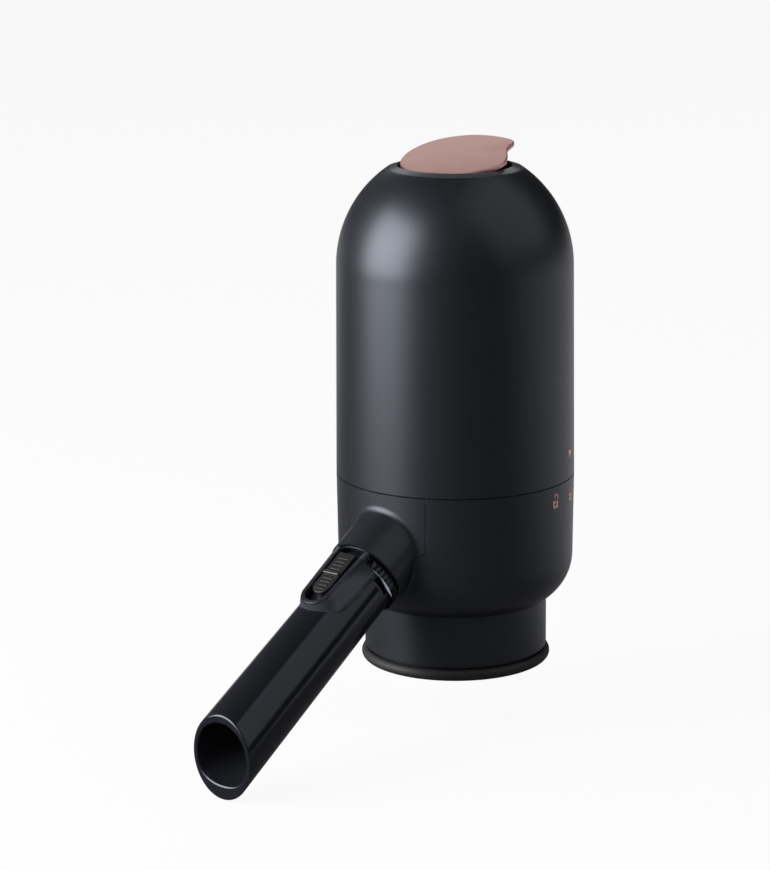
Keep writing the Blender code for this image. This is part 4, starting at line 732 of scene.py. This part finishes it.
def sector(inner, outer, low, high, start, end, steps=24):
    """A closed block bent round the Z axis."""
    bm = bmesh.new()
    corners = [bm.verts.new((radius * math.cos(start), radius * math.sin(start), height))
               for radius, height in ((inner, low), (outer, low), (outer, high), (inner, high))]
    bm.faces.new(corners)
    bmesh.ops.spin(bm, geom=bm.verts[:] + bm.edges[:] + bm.faces[:], cent=(0, 0, 0), axis=(0, 0, 1),
                   angle=end - start, steps=steps)
    bmesh.ops.recalc_face_normals(bm, faces=bm.faces)
    return bm


past_tip = TUBE_LENGTH + TUBE_END
tube_outline = [(BORE_START, PLUG_END), (PLUG_RADIUS, PLUG_END)]
for low, high in GROOVES:
    tube_outline += [(PLUG_RADIUS, low), (GROOVE_RADIUS, low), (GROOVE_RADIUS, high), (PLUG_RADIUS, high)]
tube_outline += [(PLUG_RADIUS, SHOULDER[0]), (SHOULDER_RADIUS, SHOULDER[0]), (SHOULDER_RADIUS, SHOULDER[1]),
                 (0.00804, SHOULDER[1] + 0.0002)]
tube_outline += [(tube_radius(distance), distance)
                 for distance in (0.0042, 0.008, 0.016, 0.030, 0.045, past_tip)]
tube_outline += [(bore_radius(distance), distance) for distance in (past_tip, 0.045, 0.030, 0.016, 0.0)]
cutters = [sector(0.0078, 0.0095, SHOULDER[0] - 0.0003, SHOULDER[1] + 0.0001, SHOULDER_TOP,
                  math.radians(180.0) - SHOULDER_TOP)]
low_turn, high_turn = AIR_SLOT_TURNS
for start, end in ((low_turn, high_turn), (math.radians(180.0) - high_turn, math.radians(180.0) - low_turn)):
    cutters.append(sector(0.0055, 0.0095, *AIR_SLOT, start, end))
tube = cut_away(turned(tube_outline), *cutters)
everything = tube.verts[:] + tube.edges[:] + tube.faces[:]
tip_normal = Matrix.Rotation(-TIP_TURN, 3, "X") @ UP
tip_middle = Vector((0.0, 0.0, TUBE_LENGTH))
bmesh.ops.bisect_plane(tube, geom=everything, plane_co=tip_middle, plane_no=tip_normal, dist=MERGE,
                       clear_outer=True)
bmesh.ops.bridge_loops(tube, edges=[edge for edge in tube.edges if edge.is_boundary])
bmesh.ops.recalc_face_normals(tube, faces=tube.faces)
lip = [vert for vert in tube.verts if abs((vert.co - tip_middle).dot(tip_normal)) < MERGE]
inside = [vert for vert in lip if math.hypot(vert.co.x, vert.co.y) < bore_radius(vert.co.z) + 0.0002]
for vert in inside:
    low = -vert.co.y / bore_radius(vert.co.z)
    lift = LOWER_LIP * low ** 2 if low > 0 else -UPPER_LIP * low ** 2
    vert.co += Vector((0.0, math.cos(TIP_TURN), -math.sin(TIP_TURN))) * lift
round_edges(tube, 0.00035, 4, where=lambda spot: spot.z > 0.02)
round_edges(tube, 0.00018, 2, where=lambda spot: spot.z < 0.01)
bmesh.ops.transform(tube, matrix=SPOUT, verts=tube.verts)
piece("pouring_tube", tube, "spout", "spout", "spout_tube")

RING_REACH = 0.00742
RING_ROUND = 0.00042
ring_outline = [(RING_REACH + RING_ROUND * math.cos(turn), RING_ROUND * math.sin(turn))
                for turn in [FULL_TURN * index / 20 for index in range(20)]]
for index, place in enumerate((-0.0098, -0.0064)):
    spot = SPOUT @ Matrix.Translation((0.0, 0.0, place))
    ring = turned(ring_outline, 120, spot=spot)
    piece(f"plug_ring_{index + 1}", ring, "spout", "rim_rubber", f"spout_ring_{index + 1}")

# %% [markdown]
# ## The slider and its pod
#
# On top of the spout sits a pod with a raised rim, and a slider in it opens and closes the air way. The rim's
# outline is swept along the pod: straight down one side, half a turn round the nose and back up the other.
# Then the pod is narrowed and lifted a little towards its nose.

# %% Pod and slider
POD_TURN_Z = 0.0148
POD_LEVEL = 0.00935
POD_LIFT = 0.00045
POD_TAPER = 0.20
RIM_SHAPE = ((2.90, -2.6), (2.90, -0.30), (3.00, -0.10), (3.22, 0.0), (3.75, 0.0), (4.02, -0.12),
             (4.20, -0.40))
FLANK_SHAPE = ((4.55, -1.10), (4.90, -1.95), (5.35, -2.85), (5.90, -3.75), (6.50, -4.80), (4.50, -4.80))
MILLIMETRE = 0.001
POD_TURN_STEPS = 40


def pod_wall(shape, start):
    """Sweeps a cross-section from the socket round the nose and back."""
    bm = bmesh.new()
    face = bm.faces.new([bm.verts.new((reach * MILLIMETRE, POD_LEVEL + height * MILLIMETRE, start))
                         for reach, height in shape])
    length = POD_TURN_Z - start
    made = bmesh.ops.extrude_face_region(bm, geom=[face])["geom"]
    bmesh.ops.translate(bm, vec=(0.0, 0.0, length), verts=new_verts(made))
    last = bmesh.ops.spin(bm, geom=new_faces(made), cent=(0, 0, POD_TURN_Z), axis=(0, 1, 0), angle=-HALF_TURN,
                          steps=POD_TURN_STEPS)["geom_last"]
    made = bmesh.ops.extrude_face_region(bm, geom=new_faces(last))["geom"]
    bmesh.ops.translate(bm, vec=(0.0, 0.0, -length), verts=new_verts(made))
    bmesh.ops.remove_doubles(bm, verts=bm.verts, dist=MERGE)
    bmesh.ops.recalc_face_normals(bm, faces=bm.faces)
    for vert in bm.verts:
        share = vert.co.z / POD_TURN_Z
        vert.co.x *= 1.0 + POD_TAPER * max(0.0, 1.0 - share)
        vert.co.y += POD_LIFT * share
    return bm


def plan_plate(half, start, end, low, high):
    """A plate over the spout, square towards the socket and round at its nose."""
    bm = bmesh.new()
    first = bm.verts.new((half, low, end - half))
    last = bmesh.ops.spin(bm, geom=[first], cent=(0, 0, end - half), axis=(0, 1, 0), angle=-HALF_TURN,
                          steps=32)["geom_last"][0]
    corners = [bm.verts.new((side * half, low, start)) for side in (1, -1)]
    for pair in ((first, corners[0]), (last, corners[1]), corners):
        bm.edges.new(pair)
    bmesh.ops.contextual_create(bm, geom=bm.edges[:])
    made = bmesh.ops.extrude_face_region(bm, geom=bm.faces[:])["geom"]
    bmesh.ops.translate(bm, vec=(0.0, high - low, 0.0), verts=new_verts(made))
    bmesh.ops.recalc_face_normals(bm, faces=bm.faces)
    return bm


def bar(width, height, length, spot):
    """A small block with rounded edges, laid across the slider."""
    bm = bmesh.new()
    bmesh.ops.create_cube(bm, size=1.0)
    bmesh.ops.scale(bm, vec=(width, height, length), verts=bm.verts)
    round_edges(bm, min(height, length) * 0.4, 3)
    bmesh.ops.translate(bm, vec=spot, verts=bm.verts)
    return bm


pod = add(pod_wall(RIM_SHAPE + FLANK_SHAPE, 0.0023), pod_wall(RIM_SHAPE + ((3.6, -2.6),), 0.0001))
bmesh.ops.transform(pod, matrix=SPOUT, verts=pod.verts)
piece("slider_pod", pod, "spout", "spout", material=POD_SATIN)

SLIDER_HALF = 0.00245
SLIDER_TOP = 0.0097
SLIDER_START = 0.0017
SLIDER_NOSE = 0.0150
SLIDER_FOOT = 0.0079
RIB_Z = 0.0086
RIDGES = 4
RIDGE_FIRST = 0.0016
RIDGE_PITCH = 0.00115
slider = plan_plate(SLIDER_HALF, SLIDER_START, SLIDER_NOSE, SLIDER_FOOT, SLIDER_TOP)
round_edges(slider, 0.00022, 3)
add(slider, bar(2 * SLIDER_HALF, 0.0009, 0.0010, (0.0, SLIDER_TOP + 0.0001, RIB_Z)))
for side in (-1, 1):
    for index in range(RIDGES):
        spot = (0.0, SLIDER_TOP, RIB_Z + side * (RIDGE_FIRST + RIDGE_PITCH * index))
        add(slider, bar(0.0030, 0.00024, 0.0005, spot))
bmesh.ops.transform(slider, matrix=SPOUT, verts=slider.verts)
piece("air_slider", slider, "slider", "spout", "flow_slider", material=SLIDER_PAD)

# %% [markdown]
# ## The button
#
# A chamfered ring lines the opening in the dome, with a shallow notch behind for a fingernail. In its well a
# thin leaf with one hooked tip lies tilted towards the spout, on a black lever that turns about a steel pin.

# %% Bezel ring and well
BEZEL_TOP = 0.1052
BEZEL_REACH = 0.0159
BEZEL_FOOT = 0.1045
NOTCH_HALF = 0.0062
NOTCH_DEPTH = 0.0012
BEZEL_INSIDE = 0.0142
BEZEL_UNDER = 0.1033
WELL_RADIUS = 0.0138
WELL_OUTSIDE = 0.0146
WELL_FLOOR = 0.0976
WELL_UNDER = 0.0964
PIN_Y = 0.0030


def block(low, high):
    """A box between two corners."""
    bm = bmesh.new()
    bmesh.ops.create_cube(bm, size=1.0)
    bmesh.ops.scale(bm, vec=Vector(high) - Vector(low), verts=bm.verts)
    bmesh.ops.translate(bm, vec=(Vector(high) + Vector(low)) / 2, verts=bm.verts)
    return bm


bezel = turned([(0.0, WELL_FLOOR), (WELL_RADIUS, WELL_FLOOR), (WELL_RADIUS, BEZEL_TOP), (BEZEL_INSIDE, BEZEL_TOP),
                (BEZEL_REACH, BEZEL_FOOT), (BEZEL_REACH, BEZEL_UNDER), (WELL_OUTSIDE, BEZEL_UNDER),
                (WELL_OUTSIDE, WELL_UNDER), (0.0, WELL_UNDER)], closed=False)
notch = block((-NOTCH_HALF, 0.0120, BEZEL_TOP - NOTCH_DEPTH), (NOTCH_HALF, 0.0170, BEZEL_TOP + 0.001))
bezel = cut_away(bezel, rod(0.0022, 0.095, 0.099, Matrix.Translation((0.0, PIN_Y, 0.0))), notch)
piece("button_well", round_edges(bezel, 0.00012, 2), "upper", "housing", "button_bezel", material=POD_SATIN)

# %% Leaf
LEAF_Z = 0.1073
LEAF_LEAN = math.radians(2.0)
LEAF_TILT = math.radians(13.0)
LEAF = Matrix.Translation((0.0, 0.0, LEAF_Z)) @ Matrix.Rotation(LEAF_LEAN, 4, "Y")
LEAF = LEAF @ Matrix.Rotation(LEAF_TILT, 4, "X")
LEAF_THICK = 0.0011
LEAF_CROWN = 0.00030
LEAF_EDGE = ((0, 12.9), (14, 12.9), (33, 13.1), (52, 13.4), (65, 13.7), (77, 14.2), (88, 14.5), (96, 14.3),
             (104, 13.6), (114, 13.0), (124, 12.6), (132, 12.6), (139, 13.4), (145, 14.8), (150, 15.5),
             (155, 15.6), (163, 15.1), (178, 14.5), (196, 14.2), (213, 13.9), (228, 13.7), (241, 13.5),
             (264, 13.1), (285, 13.0), (311, 13.2), (325, 13.1), (345, 12.9), (360, 12.9))
LEAF_RINGS = (0.97, 0.92, 0.84, 0.72, 0.58, 0.42, 0.26, 0.12)
EASE_ROUNDS = 4


def leaf_reach(degrees):
    """Distance in millimetres from the leaf's middle to its edge, straight between the known places."""
    for (before, low), (after, high) in zip(LEAF_EDGE, LEAF_EDGE[1:]):
        if before <= degrees <= after:
            return low + (high - low) * (degrees - before) / (after - before)


leaf = bmesh.new()
for vert in bmesh.ops.create_circle(leaf, segments=240, radius=MILLIMETRE)["verts"]:
    vert.co *= leaf_reach(math.degrees(math.atan2(vert.co.x, -vert.co.y)) % 360.0)
for _ in range(EASE_ROUNDS):
    bmesh.ops.smooth_vert(leaf, verts=leaf.verts, factor=0.5, use_axis_x=True, use_axis_y=True)
loop = leaf.edges[:]
share = 1.0
for target in LEAF_RINGS:
    made = bmesh.ops.extrude_edge_only(leaf, edges=loop)["geom"]
    loop = new_edges(made)
    bmesh.ops.scale(leaf, vec=(target / share, target / share, 1.0), verts=new_verts(made))
    bmesh.ops.translate(leaf, vec=(0.0, 0.0, LEAF_CROWN * (share ** 2 - target ** 2)), verts=new_verts(made))
    share = target
bmesh.ops.contextual_create(leaf, geom=loop)
bmesh.ops.recalc_face_normals(leaf, faces=leaf.faces)
if sum(face.normal.z for face in leaf.faces) < 0:
    bmesh.ops.reverse_faces(leaf, faces=leaf.faces)
under = bmesh.ops.extrude_face_region(leaf, geom=leaf.faces[:], use_keep_orig=True)["geom"]
bmesh.ops.translate(leaf, vec=(0.0, 0.0, -LEAF_THICK), verts=new_verts(under))
bmesh.ops.recalc_face_normals(leaf, faces=leaf.faces)
round_edges(leaf, 0.00048, 4)
bmesh.ops.transform(leaf, matrix=LEAF, verts=leaf.verts)
piece("leaf_plate", leaf, "button", "leaf", "button_leaf")

# %% Lever under the leaf
LEVER_RADIUS = 0.0120
HINGE = (0.0, -0.0104, 0.0996)
lever = round_edges(rod(LEVER_RADIUS, -LEAF_THICK - 0.0019, -LEAF_THICK - 0.0003, LEAF, 120), 0.0003, 3)
barrel = rod(0.0017, -0.0052, 0.0052, Matrix.Translation(HINGE) @ Matrix.Rotation(math.radians(90.0), 4, "Y"))
add(lever, round_edges(barrel, 0.0002, 2))
add(lever, block((-0.0052, HINGE[1] - 0.0009, HINGE[2]), (0.0052, HINGE[1] + 0.0009, 0.1030)))
add(lever, round_edges(rod(0.0013, 0.0959, 0.1060, Matrix.Translation((0.0, PIN_Y, 0.0))), 0.0002, 2))
piece("black_lever", lever, "button", "housing", "button_lever")

# %% [markdown]
# ## Small signs at the seam
#
# An arrowhead on the upper unit and two padlocks on the lower one say how far to twist. They are printed in
# the leaf's colour. Each is drawn flat, cut into small faces, and then laid on the wall.

# %% Signs
PRINT_PROUD = 0.00004
PRINT_WALL = 0.00003
ARROW_TURN = 111.0
ARROW_Z = 0.0365
ARROW_REACH = 0.02893
PADLOCK_Z = 0.0254


def lay_on(bm, turn, height, radius):
    """Lays a flat sign on the wall, at a turn from the spout's side towards +X."""
    for vert in bm.verts:
        around = math.radians(turn) + vert.co.x / radius
        reach = radius + PRINT_PROUD
        vert.co = Vector((reach * math.sin(around), -reach * math.cos(around), height + vert.co.y))
    bmesh.ops.recalc_face_normals(bm, faces=bm.faces)
    if sum(face.normal.dot(face.calc_center_median() * Vector((1, 1, 0))) for face in bm.faces) < 0:
        bmesh.ops.reverse_faces(bm, faces=bm.faces)
    return bm


def padlock(swing):
    """Body with a keyhole, and a shackle that swings to one side when it is open."""
    bm = bmesh.new()
    bmesh.ops.create_circle(bm, segments=32, radius=0.00032)
    body = bmesh.ops.create_circle(bm, segments=32, radius=0.0014)["verts"]
    for vert in body:
        vert.co.x = max(-0.0012, min(0.0012, vert.co.x))
        vert.co.y = max(-0.0010, min(0.0010, vert.co.y))
    bmesh.ops.bridge_loops(bm, edges=bm.edges[:])
    arch = bmesh.new()
    ends = [arch.verts.new((reach, 0.0, 0.0)) for reach in (0.00045, 0.0009)]
    made = [arch.edges.new(ends)]
    last = bmesh.ops.spin(arch, geom=ends + made, cent=(0, 0, 0), axis=(0, 0, 1), angle=HALF_TURN,
                          steps=20)["geom_last"]
    for foot in (made, new_edges(last)):
        leg = bmesh.ops.extrude_edge_only(arch, edges=foot)["geom"]
        bmesh.ops.translate(arch, vec=(0.0, -0.0007, 0.0), verts=new_verts(leg))
    turn_open = Matrix.Rotation(swing, 3, "Z")
    bmesh.ops.rotate(arch, cent=(0.0009, -0.0006, 0.0), matrix=turn_open, verts=arch.verts)
    bmesh.ops.translate(arch, vec=(0.0, 0.0015, 0.0), verts=arch.verts)
    return add(bm, arch)


arrow = bmesh.new()
point_down = Matrix.Rotation(HALF_TURN, 3, "Z").to_4x4()
bmesh.ops.create_circle(arrow, segments=3, radius=0.0016, cap_ends=True, matrix=point_down)
bmesh.ops.subdivide_edges(arrow, edges=arrow.edges[:], cuts=7, use_grid_fill=True)
lay_on(arrow, ARROW_TURN, ARROW_Z, ARROW_REACH)
piece("sign_arrow", arrow, "upper", "leaf", wall=PRINT_WALL)
for name, turn, swing in (("sign_open", 94.7, math.radians(-22.0)), ("sign_shut", 112.3, 0.0)):
    sign = lay_on(padlock(swing), turn, PADLOCK_Z, wall_radius(PADLOCK_Z))
    piece(name, sign, "base", "leaf", wall=PRINT_WALL)

# %% [markdown]
# ## Floor, background and light
#
# The product stands before plain white, but a white room would turn black plastic grey. So the world and the
# floor are white for the camera only. Reflections see the world graded from dark to a little brighter on one
# side. In reflections the floor glows with painted light: painted shade under the product and on the spout's
# side, and a painted brighter reflection behind it. The world gives only a little light by itself. The light
# comes from a soft box close by at the front left, a wide weak one above on the right and a small one behind
# on the left.

# %% World
ROOM_SIDE = (-0.95, -0.30, 0.0)
world = bpy.data.worlds.new("white_room")
world.use_nodes = True
bpy.context.scene.world = world
room = Recipe(world.node_tree)
world.node_tree.nodes.clear()
seen = room.node("ShaderNodeLightPath", output="Is Camera Ray")
mirrored = room.node("ShaderNodeLightPath", output="Is Glossy Ray")
mirrored = (mirrored + room.node("ShaderNodeLightPath", output="Is Transmission Ray")).clamp()
direction = room.node("ShaderNodeTexCoord", output="Generated")
towards = room.node("ShaderNodeVectorMath", {"operation": "DOT_PRODUCT"}, {0: direction, 1: ROOM_SIDE},
                    output="Value")
ROOM_STOPS = [(0.45, (0.02, 0.02, 0.022)), (0.75, (0.05, 0.05, 0.055)), (1.0, (0.12, 0.12, 0.13))]
graded = room.node("ShaderNodeValToRGB", {"stops": ROOM_STOPS}, {"Fac": (towards * 0.5 + 0.5).clamp()})
level = room.mix(mirrored, (0.22, 0.22, 0.23), graded)
level = room.mix(seen, level, (1.0, 1.0, 1.0))
surface = room.node("ShaderNodeBackground", {}, {"Color": level, "Strength": 1.0})
room.node("ShaderNodeOutputWorld", {}, {"Surface": surface})
print("world nodes:", len(world.node_tree.nodes))

# %% Floor
FLOOR_Z = -0.0312
FLOOR_HALF = 3.0
FLOOR_PAINTED_REFLECTION_AXIS = (0.0, 2.0, 0.0)
FLOOR_PAINTED_REFLECTION_SHIFT = 0.4
# Painted reflection on the floor: the dark stops, under the product and on the spout's side, are painted shade,
# and the bright stops behind it are a painted brighter reflection.
FLOOR_PAINTED_REFLECTION_STOPS = [(0.0, (0.05, 0.05, 0.055)), (0.45, (0.08, 0.08, 0.085)), (0.75, (0.55, 0.55, 0.57)),
               (1.0, (0.65, 0.65, 0.67))]
GLOW_SHARE = 0.93
floor_mesh = bmesh.new()
bmesh.ops.create_grid(floor_mesh, x_segments=1, y_segments=1, size=FLOOR_HALF)
bmesh.ops.translate(floor_mesh, vec=(0.0, 0.0, FLOOR_Z), verts=floor_mesh.verts)
floor_data = bpy.data.meshes.new("floor")
floor_mesh.to_mesh(floor_data)
floor_mesh.free()
floor = bpy.data.objects.new("floor", floor_data)
bpy.context.scene.collection.objects.link(floor)
paint = bpy.data.materials.new("white_floor_painted_reflection")
paint.use_nodes = True
paint.node_tree.nodes.clear()
recipe = Recipe(paint.node_tree)
seen = recipe.node("ShaderNodeLightPath", output="Is Camera Ray")
mirrored = recipe.node("ShaderNodeLightPath", output="Is Glossy Ray")
mirrored = mirrored + recipe.node("ShaderNodeLightPath", output="Is Transmission Ray")
# For mirrored rays the floor glows mostly with this painted grade of shade and brightness, not with the light that
# falls on it.
spot = recipe.node("ShaderNodeTexCoord", output="Object")
behind = recipe.node("ShaderNodeVectorMath", {"operation": "DOT_PRODUCT"}, {0: spot, 1: FLOOR_PAINTED_REFLECTION_AXIS},
                     output="Value")
graded = recipe.node("ShaderNodeValToRGB", {"stops": FLOOR_PAINTED_REFLECTION_STOPS}, {"Fac": (behind + FLOOR_PAINTED_REFLECTION_SHIFT).clamp()})
colour = recipe.mix(seen, graded, (1.0, 1.0, 1.0))
matt = recipe.node("ShaderNodeBsdfDiffuse", {}, {"Color": (0.60, 0.60, 0.60)})
glow = recipe.node("ShaderNodeEmission", {}, {"Color": colour, "Strength": 1.0})
blend = recipe.node("ShaderNodeMixShader", {}, {"Fac": ((seen + mirrored) * GLOW_SHARE).clamp(), 1: matt, 2: glow})
recipe.node("ShaderNodeOutputMaterial", {}, {"Surface": blend})
floor_data.materials.append(paint)


# %% Lights
def soft_box(name, direction, distance, width, height, power, aim=(0.0, 0.0, 0.045)):
    """An area light that faces the object."""
    data = bpy.data.lights.new(name, "AREA")
    data.shape = "RECTANGLE"
    data.size, data.size_y = width, height
    data.energy = power
    lamp = bpy.data.objects.new(name, data)
    bpy.context.scene.collection.objects.link(lamp)
    offset = Vector(direction).normalized() * distance
    lamp.location = Vector(aim) + offset
    lamp.rotation_euler = (-offset).to_track_quat("-Z", "Y").to_euler()
    return lamp


soft_box("key_left", (-0.309, -0.514, 0.205), 0.634, 0.55, 0.58, 9.5)
soft_box("fill_right", (0.62, 0.30, 0.70), 1.0, 1.3, 1.3, 3.2)
soft_box("back", (-0.57, 0.62, 0.54), 0.9, 0.6, 0.32, 0.60)

view = bpy.context.scene.view_settings
view.view_transform = "Standard"
